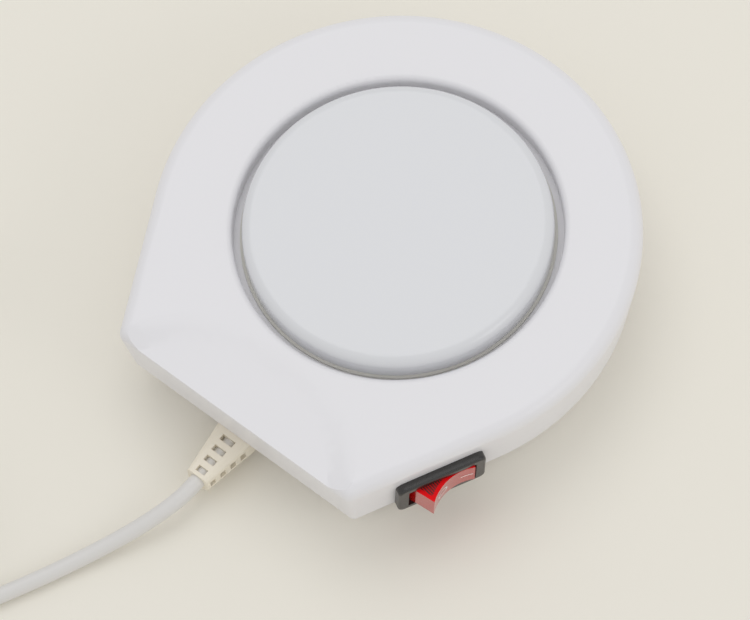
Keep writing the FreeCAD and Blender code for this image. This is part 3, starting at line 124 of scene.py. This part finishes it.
# Cord: exit, then the points that it is led by, in millimetres
CORD_EXIT = (-2.9, -66.656, 6.1)
CORD_ROUTE = [
    (-2.9, -71.0, 6.1),
    (-4.4, -77.4, 5.3),
    (-7.6, -85.5, 3.5),
    (-12.3, -95.8, 2.1),
    (-17.4, -107.0, 1.95),
    (-26.431, -124.538, 1.95),
]


def linear(hex_colour):
    """An sRGB hex colour as linear red, green, blue and alpha."""
    channels = [int(hex_colour[k:k + 2], 16) / 255 for k in (1, 3, 5)]
    curve = [c / 12.92 if c <= 0.04045 else ((c + 0.055) / 1.055) ** 2.4 for c in channels]
    return (*curve, 1.0)


# Properties

class WarmerShell(bpy.types.PropertyGroup):
    """Colours of the casing and the hot plate."""
    casing: FloatVectorProperty(
        name="Casing", description="Colour of the moulded casing", subtype="COLOR", size=4,
        default=linear("#EEEDF0"), min=0, max=1)
    plate: FloatVectorProperty(
        name="Plate", description="Colour of the enamelled plate", subtype="COLOR", size=4,
        default=linear("#E3E4E7"), min=0, max=1)
    smooth_angle: FloatProperty(
        name="Smooth angle", description="Edges flatter than this are shaded smooth", subtype="ANGLE",
        default=math.radians(28))


class WarmerSwitch(bpy.types.PropertyGroup):
    """Sizes and colours of the rocker's details."""
    # The rocker's own red; the finishes lay a faint painted glow over it
    red: FloatVectorProperty(
        name="Rocker red", description="Colour of the lit rocker", subtype="COLOR", size=4,
        default=linear("#BE0606"), min=0, max=1)
    mark_line: FloatProperty(
        name="Mark line", description="Line width of the printed marks", subtype="DISTANCE", unit="LENGTH",
        default=0.45 * MM)
    off_mark: FloatProperty(
        name="Off mark", description="Diameter of the round mark", subtype="DISTANCE", unit="LENGTH",
        default=3.4 * MM)
    on_mark: FloatProperty(
        name="On mark", description="Length of the straight mark", subtype="DISTANCE", unit="LENGTH",
        default=2.7 * MM)
    rib_count: IntProperty(name="Ribs", description="Ribs on each long side of the rocker", default=23, min=1)
    rib_pitch: FloatProperty(
        name="Rib pitch", description="Distance between ribs", subtype="DISTANCE", unit="LENGTH",
        default=0.56 * MM)
    rib_width: FloatProperty(
        name="Rib width", description="Width of a rib", subtype="DISTANCE", unit="LENGTH", default=0.34 * MM)
    rib_border: FloatProperty(
        name="Rib border", description="Clear border between the ribs and the face", subtype="DISTANCE",
        unit="LENGTH", default=1.0 * MM)


class WarmerCord(bpy.types.PropertyGroup):
    """Sizes of the mains cord and its coil."""
    diameter: FloatProperty(
        name="Diameter", description="Outside of the sheath", subtype="DISTANCE", unit="LENGTH",
        default=3.7 * MM)
    coil_radius: FloatProperty(
        name="Coil radius", description="Centre line of the outer turn", subtype="DISTANCE", unit="LENGTH",
        default=30.5 * MM)
    coil_pitch: FloatProperty(
        name="Coil pitch", description="Radial step of one turn", subtype="DISTANCE", unit="LENGTH",
        default=5.05 * MM)
    coil_layer: FloatProperty(
        name="Coil layer", description="Height of the upper layer above the lower", subtype="DISTANCE",
        unit="LENGTH", default=4.25 * MM)
    coil_turns: FloatProperty(name="Turns", description="Turns wound in and out again", default=6.43)
    colour: FloatVectorProperty(
        name="Cord", description="Colour of the sheath", subtype="COLOR", size=4, default=linear("#E3E1DE"),
        min=0, max=1)


class WarmerStudio(bpy.types.PropertyGroup):
    """Floor, lamps and camera."""
    floor: FloatVectorProperty(
        name="Floor", description="Colour of the floor", subtype="COLOR", size=4, default=linear("#F7F3E8"),
        min=0, max=1)
    sky: FloatProperty(name="Sky", description="Strength of the even light", default=0.7)
    lamp: FloatProperty(
        name="Lamp", description="Power of the large overhead lamp", subtype="POWER", default=1.9)
    lens: FloatProperty(
        name="Lens", description="Focal length on a 36 mm sensor", subtype="DISTANCE_CAMERA", default=492.23)
    distance: FloatProperty(
        name="Distance", description="From the object's middle to the camera", subtype="DISTANCE",
        unit="LENGTH", default=2.3076)


# Materials

def add_node(tree, kind, settings=None, inputs=None):
    """Add a node, set its properties and its input values, and link inputs that are sockets."""
    node = tree.nodes.new(kind)
    for name, value in (settings or {}).items():
        setattr(node, name, value)
    for name, value in (inputs or {}).items():
        if isinstance(value, bpy.types.NodeSocket):
            tree.links.new(value, node.inputs[name])
        else:
            node.inputs[name].default_value = value
    return node


def finish_material(name, colour, metallic=0.0, roughness=0.5, grain_mm=0.4, stretch=(1, 1, 1), bump=0.05,
                    tint=0.03, rough_swing=0.06, **sockets):
    """A procedural finish, with a fine grain of real size in its colour, roughness and height."""
    material = bpy.data.materials.new(name)
    material.use_nodes = True
    tree = material.node_tree
    surface = tree.nodes["Principled BSDF"]
    surface.inputs["Metallic"].default_value = metallic
    for socket, value in sockets.items():
        surface.inputs[socket.replace("_", " ")].default_value = value
    place = add_node(tree, "ShaderNodeTexCoord")
    mapping = add_node(tree, "ShaderNodeMapping", None, {"Vector": place.outputs["Object"], "Scale": stretch})
    fine = add_node(tree, "ShaderNodeTexNoise", None, {
        "Vector": mapping.outputs["Vector"], "Scale": 1 / (grain_mm * MM), "Detail": 3.0, "Roughness": 0.6})
    broad = add_node(tree, "ShaderNodeTexNoise", None, {
        "Vector": place.outputs["Object"], "Scale": 1 / (BROAD_MM * MM), "Detail": 2.0})
    darker = tuple(c * (1 - tint) for c in colour[:3]) + (1.0,)
    blend = add_node(tree, "ShaderNodeMath", {"operation": "MULTIPLY"}, {0: fine.outputs["Fac"]})
    tree.links.new(broad.outputs["Fac"], blend.inputs[1])
    shade = add_node(tree, "ShaderNodeMix", {"data_type": "RGBA"})
    tree.links.new(blend.outputs["Value"], shade.inputs[0])
    shade.inputs[6].default_value = tuple(colour[:3]) + (1.0,)
    shade.inputs[7].default_value = darker
    tree.links.new(shade.outputs[2], surface.inputs["Base Color"])
    swing = add_node(tree, "ShaderNodeMapRange", None, {
        "Value": fine.outputs["Fac"], "From Min": 0.3, "From Max": 0.7,
        "To Min": max(roughness - rough_swing, 0.02), "To Max": min(roughness + rough_swing, 1.0)})
    tree.links.new(swing.outputs["Result"], surface.inputs["Roughness"])
    height = add_node(tree, "ShaderNodeBump", None, {
        "Height": fine.outputs["Fac"], "Strength": bump, "Distance": grain_mm * MM * GRAIN_DEPTH})
    tree.links.new(height.outputs["Normal"], surface.inputs["Normal"])
    return material


def make_finishes(scene):
    """Every finish on the object, named for the real material."""
    shell = scene.warmer_shell
    switch = scene.warmer_switch
    cord = scene.warmer_cord
    return {
        # Injection-moulded ABS: even white, satin, with a very fine mould grain
        "casing_white": finish_material("moulded_abs_white", shell.casing, 0, 0.34, 0.25, bump=0.03,
                                        tint=0.012, IOR=1.53),
        # Vitreous enamel on steel: smoother and cooler than the casing, slight orange peel
        "plate_enamel": finish_material("vitreous_enamel_white", shell.plate, 0, 0.2, 1.4, bump=0.02,
                                        tint=0.008, rough_swing=0.03, IOR=1.5, Coat_Weight=0.25,
                                        Coat_Roughness=0.08),
        # Glass-filled nylon: near black, softly reflecting edges
        "black_nylon": finish_material("moulded_nylon_black", linear("#1E1C1A"), 0, 0.3, 0.15, bump=0.08,
                                       tint=0.15, IOR=1.7),
        # Clear red polycarbonate over a neon lamp, with a faint painted glow in it
        "red_translucent": finish_material("polycarbonate_red_painted_glow", switch.red, 0, 0.14, 0.5, bump=0.01, tint=0.1,
                                           rough_swing=0.03, IOR=1.58, Transmission_Weight=0.15,
                                           Coat_Weight=0.6, Coat_Roughness=0.1,
                                           Emission_Color=linear("#FF0806"), Emission_Strength=0.06),
        # The same plastic where its skirt is thickest: deep red moulded ribs
        "rib_red": finish_material("polycarbonate_ribs", linear("#3C0306"), 0, 0.5, 0.4, bump=0.02, tint=0.3),
        # The rocker's thin long sides: vivid red with a painted glow that brightens them, and duller than the
        # polished face
        "side_red": finish_material("red_side_painted_glow", linear("#E4000A"), 0, 0.5, 0.5, bump=0.01,
                                    tint=0.15, Specular_IOR_Level=0.15, Emission_Color=linear("#FF0006"),
                                    Emission_Strength=0.1),
        # Pad-printed ink: flat white with crisp edges
        "mark_white": finish_material("pad_print_white", linear("#F4F0EC"), 0, 0.45, 0.1, bump=0.01,
                                      tint=0.02),
        # Flexible PVC, aged to ivory
        "relief_ivory": finish_material("flexible_pvc_ivory", linear("#F6EEDC"), 0, 0.42, 0.3, bump=0.05,
                                        tint=0.05, IOR=1.53),
        # Extruded PVC sheath: even grey-white, faint lines along it
        "cord_pvc": finish_material("extruded_pvc_white", cord.colour, 0, 0.4, 0.5, bump=0.04, IOR=1.53),
        "plug_pvc": finish_material("moulded_pvc_white", cord.colour, 0, 0.44, 0.3, IOR=1.53),
        # Nickel-plated brass blades: bright, warm grey, drawn lengthwise
        "plated_pins": finish_material("nickel_plated_brass", linear("#C9C5BA"), 1, 0.24, 0.2, (1, 0.08, 1),
                                       bump=0.04),
        # Moulded rubber: matt charcoal
        "foot_rubber": finish_material("moulded_rubber_grey", linear("#3A3A3B"), 0, 0.78, 0.3, bump=0.15,
                                       tint=0.2),
        # Zinc-plated steel: pale bluish metal with a blotchy passivation
        "zinc_steel": finish_material("zinc_plated_steel", linear("#B9BCBC"), 1, 0.36, 0.8, tint=0.15),
        # Blank silver film: smooth, slightly brushed
        "label_paper": finish_material("silver_film_blank", linear("#C4C6C8"), 0.6, 0.35, 0.3, (0.05, 1, 1),
                                       bump=0.02),
        # Silicone rubber: milky and matt
        "silicone_white": finish_material("silicone_rubber_white", linear("#DEDCD4"), 0, 0.6, 0.3, bump=0.05,
                                          IOR=1.43),
        # Pressed mica sheet: pale brown flakes
        "mica": finish_material("mica_sheet", linear("#A69670"), 0, 0.35, 1.6, bump=0.1, tint=0.35),
        # Nickel-chromium ribbon: dull grey metal
        "resistance_alloy": finish_material("nichrome_ribbon", linear("#8F8A84"), 1, 0.42, 0.3, (0.1, 1, 1)),
        # Ceramic fibre felt: white, fuzzy and matt
        "fibre_pad": finish_material("ceramic_fibre_felt", linear("#E6E3DA"), 0, 0.95, 0.8, bump=0.5,
                                     tint=0.12),
        # Mill-finish aluminium sheet: bright with rolling lines
        "aluminium_sheet": finish_material("rolled_aluminium", linear("#C8CACC"), 1, 0.32, 0.25,
                                           (0.05, 1, 1)),
        # Tinned brass case of the fuse
        "fuse_case": finish_material("tinned_brass", linear("#C4BEB0"), 1, 0.3, 0.4),
        # Neon lamp glass with an orange glow
        "lamp_glass": finish_material("neon_lamp_glass", linear("#FFB08A"), 0, 0.05, 0.6, bump=0.0, IOR=1.47,
                                      Transmission_Weight=0.5, Emission_Color=linear("#FF5A20"),
                                      Emission_Strength=1.5),
        # Lacquered ceramic of the resistor
        "resistor_ceramic": finish_material("lacquered_ceramic_tan", linear("#C9A878"), 0, 0.35, 0.3,
                                            tint=0.1),
        # Stamped phosphor bronze and brass: warm yellow metal
        "contact_brass": finish_material("stamped_brass", linear("#C9A55A"), 1, 0.3, 0.3, (0.1, 1, 1)),
        # Clear vinyl sleeve
        "clear_sleeve": finish_material("vinyl_sleeve", linear("#E4E2DC"), 0, 0.25, 0.5, IOR=1.54,
                                        Transmission_Weight=0.3),
        # Nylon closed-end caps: milky
        "cap_nylon": finish_material("nylon_cap_natural", linear("#E5E1CF"), 0, 0.4, 0.4, IOR=1.53),
        # PVC insulation in the mains colours, and white glass braid at the heater
        "wire_brown": finish_material("pvc_insulation_brown", linear("#6B3E22"), 0, 0.38, 0.4),
        "wire_blue": finish_material("pvc_insulation_blue", linear("#2A56A6"), 0, 0.38, 0.4),
        "wire_white": finish_material("glass_braid_white", linear("#E8E6DF"), 0, 0.8, 0.35, bump=0.4,
                                      tint=0.15),
        # Nylon strap: matt black
        "tie_black": finish_material("nylon_strap_black", linear("#202021"), 0, 0.5, 0.3, bump=0.1, tint=0.2),
    }


FINISHES = {}


def paint(piece, slot):
    """Give a piece one finish."""
    piece.data.materials.clear()
    piece.data.materials.append(FINISHES[slot])


def place_on(piece, slot, body):
    """Give a finished piece its material slot and let it ride on a body."""
    paint(piece, slot)
    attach(piece, body)
    return piece


def new_object(name, mesh):
    """An object of that mesh or curve, in the scene."""
    piece = bpy.data.objects.new(name, mesh)
    bpy.context.scene.collection.objects.link(piece)
    return piece


def mesh_of(name, vertices, faces):
    """A mesh of those points and faces."""
    mesh = bpy.data.meshes.new(name)
    mesh.from_pydata([tuple(v) for v in vertices], [], faces)
    mesh.validate()
    return mesh


def smooth_by_angle(mesh, angle):
    """Shade smooth, but keep edges that turn more than the angle crisp."""
    form = bmesh.new()
    form.from_mesh(mesh)
    bmesh.ops.remove_doubles(form, verts=form.verts, dist=MERGE_MM * MM)
    for face in form.faces:
        face.smooth = True
    for edge in form.edges:
        edge.smooth = len(edge.link_faces) == 2 and edge.calc_face_angle() < angle
    form.to_mesh(mesh)
    form.free()


def smooth_twin(node, name, slot, body):
    """A merged, smoothly shaded twin of a CAD node."""
    twin = new_object(name, NODES[node].data.copy())
    smooth_by_angle(twin.data, bpy.context.scene.warmer_shell.smooth_angle)
    weigh = twin.modifiers.new("weigh", "WEIGHTED_NORMAL")
    weigh.keep_sharp = True
    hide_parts(node)
    return place_on(twin, slot, body)


def bake(piece):
    """Turn a piece and its modifiers into a plain mesh."""
    bpy.context.view_layer.update()
    graph = bpy.context.evaluated_depsgraph_get()
    mesh = bpy.data.meshes.new_from_object(piece.evaluated_get(graph))
    piece.modifiers.clear()
    piece.data = mesh
    return piece


# Geometry node trees

def places_tree():
    """A copy of one object on each point of a mesh."""
    tree = bpy.data.node_groups.new("copies_on_points", "GeometryNodeTree")
    face = tree.interface
    face.new_socket("Geometry", in_out="INPUT", socket_type="NodeSocketGeometry")
    face.new_socket("Copy", in_out="INPUT", socket_type="NodeSocketObject")
    face.new_socket("Material", in_out="INPUT", socket_type="NodeSocketMaterial")
    face.new_socket("Geometry", in_out="OUTPUT", socket_type="NodeSocketGeometry")
    given = add_node(tree, "NodeGroupInput")
    copy = add_node(tree, "GeometryNodeObjectInfo", None, {"Object": given.outputs["Copy"]})
    copies = add_node(tree, "GeometryNodeInstanceOnPoints", None, {
        "Points": given.outputs["Geometry"], "Instance": copy.outputs["Geometry"]})
    real = add_node(tree, "GeometryNodeRealizeInstances", None, {"Geometry": copies.outputs["Instances"]})
    painted = add_node(tree, "GeometryNodeSetMaterial", None, {
        "Geometry": real.outputs["Geometry"], "Material": given.outputs["Material"]})
    add_node(tree, "NodeGroupOutput", None, {"Geometry": painted.outputs["Geometry"]})
    return tree


def run_tree(piece, tree, values):
    """Run a tree on a piece with its named inputs set, and bake the result."""
    modifier = piece.modifiers.new(tree.name, "NODES")
    modifier.node_group = tree
    names = {item.name: item.identifier for item in tree.interface.items_tree if item.in_out == "INPUT"}
    for name, value in values.items():
        modifier[names[name]] = value
    return bake(piece)


def turned_profile(name, profile, steps):
    """A closed solid turned about Z from (radius, height) points that start and end on the axis."""
    vertices = []
    rings = []
    for radius, height in profile:
        if radius == 0:
            rings.append([len(vertices)])
            vertices.append((0, 0, height))
            continue
        rings.append(list(range(len(vertices), len(vertices) + steps)))
        for k in range(steps):
            angle = 2 * math.pi * k / steps
            vertices.append((radius * math.cos(angle), radius * math.sin(angle), height))
    faces = []
    for low, high in zip(rings, rings[1:]):
        for k in range(steps):
            n = (k + 1) % steps
            if len(low) == 1:
                faces.append((low[0], high[n], high[k]))
            elif len(high) == 1:
                faces.append((low[k], low[n], high[0]))
            else:
                faces.append((low[k], low[n], high[n], high[k]))
    mesh = mesh_of(name, vertices, faces)
    smooth_by_angle(mesh, math.radians(35))
    form = bmesh.new()
    form.from_mesh(mesh)
    bmesh.ops.recalc_face_normals(form, faces=form.faces)
    form.to_mesh(mesh)
    form.free()
    return new_object(name, mesh)


# Switch frame

def switch_frame():
    """Matrix from the switch's own frame, in millimetres, to the object's, in metres."""
    hinge = [j for j in frame["joints"] if j["name"] == "rocker_tilt"][0]
    up = Vector(hinge["axis"]).normalized()
    side = Vector((up.x, up.y, 0)).normalized()
    along = Vector((side.y, -side.x, 0))
    out = up.cross(along)
    matrix = Matrix((along, out, up)).transposed().to_4x4()
    matrix.translation = Vector(hinge["pos_m"])
    return matrix @ Matrix.Scale(MM, 4)


def rocker_matrix():
    """The switch's frame turned with the rocker, as it stands at rest."""
    return switch_frame() @ Matrix.Rotation(ROCKER_TILT, 4, "Z")


def face_height(x):
    """How far out the rocker's hollow face is."""
    return FACE_CENTRE - math.sqrt(FACE_R ** 2 - x ** 2)


def on_face(x, z, proud):
    """A point on the rocker's hollow face, raised a little."""
    y = face_height(x)
    inward = Vector((x, y - FACE_CENTRE, 0)).normalized()
    return Vector((x, y, z)) - inward * proud


# Cord and camera

def coil_point(size, t):
    """The cord's control point after t turns, in along the lower layer, up, and out along the upper one."""
    half = size.coil_turns / 2
    inward = min(t, size.coil_turns - t, half - COIL_CLIMB / 2)
    share = min(max((t - half + COIL_CLIMB / 2) / COIL_CLIMB, 0), 1)
    # On a circle, a quadratic spline runs at this share of its control points' radius
    inside = (6 + 2 * math.cos(2 * math.pi / POINTS_PER_TURN)) / 8
    radius = (size.coil_radius - size.coil_pitch * inward) / inside
    lift = size.coil_layer * (share - math.sin(2 * math.pi * share) / (2 * math.pi))
    angle = math.radians(COIL_START) - 2 * math.pi * t
    return Vector(COIL_CENTRE) * MM + Vector((radius * math.cos(angle), radius * math.sin(angle), lift))


def cord_points(size):
    """The cord's control points, from its exit through the coil to the plug."""
    turns = size.coil_turns
    count = round(turns * POINTS_PER_TURN)
    points = [Vector(p) * MM for p in [CORD_EXIT] + CORD_ROUTE]
    points += [coil_point(size, turns * k / count) for k in range(count)]
    middle = Vector(COIL_CENTRE) * MM
    top = coil_point(size, turns).z
    plug_low, plug_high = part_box("plug_body")
    points.append(Vector((TAIL_X * MM, middle.y + TAIL_BEND * MM, top)))
    points.append(Vector((TAIL_X * MM, middle.y + TAIL_RUN * MM, top)))
    points.append(Vector(((plug_low.x + plug_high.x) / 2, plug_low.y + PLUG_ENTRY * MM, top)))
    return points


def camera_axes():
    """The picture camera's right, up and back directions, in the object's frame."""
    azimuth, height, roll = (math.radians(turn) for turn in (VIEW_AZIMUTH, VIEW_HEIGHT, VIEW_ROLL))
    level = Vector((-math.sin(azimuth), math.cos(azimuth), 0))
    outward = Vector((math.cos(azimuth), math.sin(azimuth), 0))
    back = outward * math.cos(height) + Vector((0, 0, math.sin(height)))
    right = level * math.cos(roll) + back.cross(level) * math.sin(roll)
    return right, back.cross(right), back


# Operators

class WARMER_OT_stage(bpy.types.Operator):
    """Make the floor, the lamps and the camera"""
    bl_idname = "warmer.stage"
    bl_label = "Make the studio"

    def execute(self, context):
        scene = context.scene
        self.make_floor(scene.warmer_studio)
        self.make_light(scene, scene.warmer_studio)
        self.make_camera(scene, scene.warmer_studio)
        scene.view_settings.view_transform = "Standard"
        return {"FINISHED"}

    def make_floor(self, studio):
        """A large sheet of pale paper."""
        far = FLOOR_REACH
        corners = [(-far, -far, 0), (far, -far, 0), (far, far, 0), (-far, far, 0)]
        floor = new_object("studio_floor", mesh_of("studio_floor", corners, [(0, 1, 2, 3)]))
        paper = finish_material("seamless_paper_cream", studio.floor, 0, 0.9, 0.6, bump=0.02, tint=0.01)
        floor.data.materials.append(paper)

    def make_light(self, scene, studio):
        """An even sky and the round soft lamps."""
        scene.world = bpy.data.worlds.new("studio_sky")
        scene.world.use_nodes = True
        sky = scene.world.node_tree.nodes["Background"]
        sky.inputs["Color"].default_value = (1, 1, 1, 1)
        sky.inputs["Strength"].default_value = studio.sky
        for name, spot, width, share in LAMPS:
            light = bpy.data.lights.new(name, "AREA")
            light.shape = "DISK"
            light.size = width
            light.energy = studio.lamp * share
            lamp = bpy.data.objects.new(name, light)
            lamp.location = spot
            lamp.rotation_euler = (-Vector(spot)).to_track_quat("-Z", "Y").to_euler()
            scene.collection.objects.link(lamp)

    def make_camera(self, scene, studio):
        """The camera at the picture's viewing angle."""
        right, up, back = camera_axes()
        lens = bpy.data.cameras.new("picture_camera")
        lens.sensor_fit = "HORIZONTAL"
        lens.sensor_width = SENSOR_MM
        lens.lens = studio.lens
        lens.clip_end = 20.0
        camera = bpy.data.objects.new("picture_camera", lens)
        turn = Matrix((right, up, back)).transposed().to_4x4()
        aside = (Vector(VIEW_POINT) - right * VIEW_LEFT - up * VIEW_DOWN) * MM
        turn.translation = aside + back * studio.distance
        camera.matrix_world = turn
        scene.collection.objects.link(camera)
        scene.camera = camera


class WARMER_OT_finishes(bpy.types.Operator):
    """Give every solid its finish"""
    bl_idname = "warmer.finishes"
    bl_label = "Finish the solids"

    def execute(self, context):
        FINISHES.update(make_finishes(context.scene))
        slots = {entry["node"]: entry["material_slot"] for entry in frame["record"]["subparts"]}
        for name, node in NODES.items():
            paint(node, slots[name])
        return {"FINISHED"}


class WARMER_OT_casing(bpy.types.Operator):
    """Make the smooth casing, tray, plate and strain relief"""
    bl_idname = "warmer.casing"
    bl_label = "Make the casing"

    def execute(self, context):
        smooth_twin("top_shell", "casing_top", "casing_white", "body")
        smooth_twin("base_tray", "casing_tray", "casing_white", "body")
        smooth_twin("hot_plate", "warming_plate", "plate_enamel", "body")
        smooth_twin("plate_gasket", "gasket_ring", "silicone_white", "body")
        smooth_twin("strain_relief", "cord_guard", "relief_ivory", "body")
        return {"FINISHED"}


class WARMER_OT_feet(bpy.types.Operator):
    """Make the four rubber feet, dished underneath"""
    bl_idname = "warmer.feet"
    bl_label = "Make the feet"

    def execute(self, context):
        low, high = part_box("rubber_feet")
        radius = FOOT_R * MM
        front_x = FOOT_FRONT_X * MM
        back = high.y - radius
        front = low.y + radius
        spots = [(low.x + radius, back, 0), (high.x - radius, back, 0)]
        spots += [(front_x, front, 0), (-front_x, front, 0)]
        profile = [(r * MM, z * MM) for r, z in FOOT_DISH] + [(radius, high.z), (0, high.z)]
        foot = turned_profile("one_foot", profile, FOOT_STEPS)
        feet = new_object("dished_feet", mesh_of("dished_feet", spots, []))
        run_tree(feet, places_tree(), {"Copy": foot, "Material": FINISHES["foot_rubber"]})
        bpy.data.objects.remove(foot)
        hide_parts("rubber_feet")
        place_on(feet, "foot_rubber", "body")
        return {"FINISHED"}


class WARMER_OT_switch(bpy.types.Operator):
    """Make the rocker, its ribs and its marks, and the bezel"""
    bl_idname = "warmer.switch"
    bl_label = "Make the switch"

    def execute(self, context):
        switch = context.scene.warmer_switch
        smooth_twin("switch_housing", "switch_bezel", "black_nylon", "body")
        smooth_twin("switch_rocker", "rocker_cap", "red_translucent", "rocker")
        matrix = rocker_matrix()
        self.make_marks(switch, matrix)
        self.make_ribs(switch, matrix)
        return {"FINISHED"}

    def make_skin(self, name, vertices, faces, slot):
        """A thin layer of that form on the rocker."""
        piece = new_object(name, mesh_of(name, vertices, faces))
        thick = piece.modifiers.new("skin", "SOLIDIFY")
        thick.thickness = SKIN_THICK * MM
        bake(piece)
        place_on(piece, slot, "rocker")

    def make_marks(self, switch, matrix):
        """A printed ring and a printed bar on the hollow face."""
        vertices = []
        faces = []
        outer = switch.off_mark / MM / 2
        inner = outer - switch.mark_line / MM
        for k in range(RING_STEPS):
            angle = 2 * math.pi * k / RING_STEPS
            for radius in (inner, outer):
                x = OFF_MARK_X + radius * math.cos(angle)
                vertices.append(on_face(x, radius * math.sin(angle), INK_PROUD))
            a, b = 2 * k, 2 * ((k + 1) % RING_STEPS)
            faces.append((a, a + 1, b + 1, b))
        first = len(vertices)
        half_long = switch.on_mark / MM / 2
        half_wide = switch.mark_line / MM / 2
        for k in range(BAR_STEPS + 1):
            x = ON_MARK_X - half_long + 2 * half_long * k / BAR_STEPS
            vertices.append(on_face(x, -half_wide, INK_PROUD))
            vertices.append(on_face(x, half_wide, INK_PROUD))
        for a in range(first, first + 2 * BAR_STEPS, 2):
            faces.append((a, a + 2, a + 3, a + 1))
        self.make_skin("rocker_marks", [matrix @ v for v in vertices], faces, "mark_white")

    def make_ribs(self, switch, matrix):
        """Vivid sides with dark ribs on both long sides, each rib as long as the side is high there."""
        border = switch.rib_border / MM
        half = switch.rib_width / MM / 2
        pitch = switch.rib_pitch / MM
        level = ROCKER_HIGH / 2
        end_slope = (TIP_Y - SHOULDER_Y) / (ROCKER_HALF - TIP_X)
        foot_x = ROCKER_HALF - SIDE_INSET
        tip_x = TIP_X - SIDE_INSET
        arc = [tip_x - 2 * tip_x * k / ARC_STEPS for k in range(ARC_STEPS + 1)]
        outline = [(-foot_x, SKIRT_LOW), (foot_x, SKIRT_LOW), (foot_x, SHOULDER_Y)]
        outline += [(x, face_height(x) - SIDE_INSET) for x in arc]
        outline.append((-foot_x, SHOULDER_Y))
        sheets = []
        ribs = []
        for side in (-1, 1):
            sheets.append([(x, y, side * (level + SIDE_PROUD)) for x, y in outline][::side])
            for k in range(switch.rib_count):
                x = (k - (switch.rib_count - 1) / 2) * pitch
                z = side * (level + RIB_PROUD)
                bar = [(x - half, SKIRT_LOW, z), (x + half, SKIRT_LOW, z)]
                for across in (x + half, x - half):
                    room = SHOULDER_Y + (ROCKER_HALF - border - abs(across)) * end_slope
                    bar.append((across, min(face_height(across) - border, room), z))
                ribs.append(bar[::side])
        for name, shapes, slot in (("rocker_sides", sheets, "side_red"), ("rocker_ribs", ribs, "rib_red")):
            vertices = [matrix @ Vector(p) for shape in shapes for p in shape]
            faces = []
            for shape in shapes:
                first = sum(len(face) for face in faces)
                faces.append(tuple(range(first, first + len(shape))))
            self.make_skin(name, vertices, faces, slot)


class WARMER_OT_cord(bpy.types.Operator):
    """Lead the mains cord out, wind its coil and fit the plug"""
    bl_idname = "warmer.cord"
    bl_label = "Make the cord"

    def execute(self, context):
        size = context.scene.warmer_cord
        points = cord_points(size)
        curve = bpy.data.curves.new("mains_cord", "CURVE")
        curve.dimensions = "3D"
        curve.bevel_depth = size.diameter / 2
        curve.bevel_resolution = 6
        curve.resolution_u = 8
        curve.use_fill_caps = True
        spline = curve.splines.new("NURBS")
        spline.points.add(len(points) - 1)
        for point, place in zip(spline.points, points):
            point.co = (*place, 1.0)
        spline.order_u = 3
        spline.use_endpoint_u = True
        cord = new_object("mains_cord", curve)
        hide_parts("mains_lead", "cord_coil")
        place_on(cord, "cord_pvc", "body")
        plug = smooth_twin("plug_body", "moulded_plug", "plug_pvc", "body")
        pins = smooth_twin("plug_pins", "plug_blades", "plated_pins", "body")
        tie = smooth_twin("cord_tie", "coil_tie", "tie_black", "body")
        return {"FINISHED"}


class WARMER_PT_panel(bpy.types.Panel):
    """Lists the steps and the settings in the sidebar"""
    bl_idname = "WARMER_PT_panel"
    bl_label = "Mug warmer"
    bl_space_type = "VIEW_3D"
    bl_region_type = "UI"
    bl_category = "Mug warmer"

    def draw(self, context):
        for operator in OPERATORS:
            self.layout.operator(operator.bl_idname)
        for group in GROUPS:
            values = getattr(context.scene, group)
            for name in GROUPS[group].__annotations__:
                self.layout.prop(values, name)


GROUPS = {
    "warmer_shell": WarmerShell,
    "warmer_switch": WarmerSwitch,
    "warmer_cord": WarmerCord,
    "warmer_studio": WarmerStudio,
}
OPERATORS = (
    WARMER_OT_stage,
    WARMER_OT_finishes,
    WARMER_OT_casing,
    WARMER_OT_feet,
    WARMER_OT_switch,
    WARMER_OT_cord,
)


def register():
    for name, group in GROUPS.items():
        bpy.utils.register_class(group)
        setattr(bpy.types.Scene, name, PointerProperty(type=group))
    for operator in OPERATORS:
        bpy.utils.register_class(operator)
    bpy.utils.register_class(WARMER_PT_panel)


def unregister():
    bpy.utils.unregister_class(WARMER_PT_panel)
    for operator in reversed(OPERATORS):
        bpy.utils.unregister_class(operator)
    for name, group in GROUPS.items():
        delattr(bpy.types.Scene, name)
        bpy.utils.unregister_class(group)


def main():
    register()
    bpy.ops.warmer.stage()
    bpy.ops.warmer.finishes()
    bpy.ops.warmer.casing()
    bpy.ops.warmer.feet()
    bpy.ops.warmer.switch()
    bpy.ops.warmer.cord()


if __name__ == "__main__":
    main()
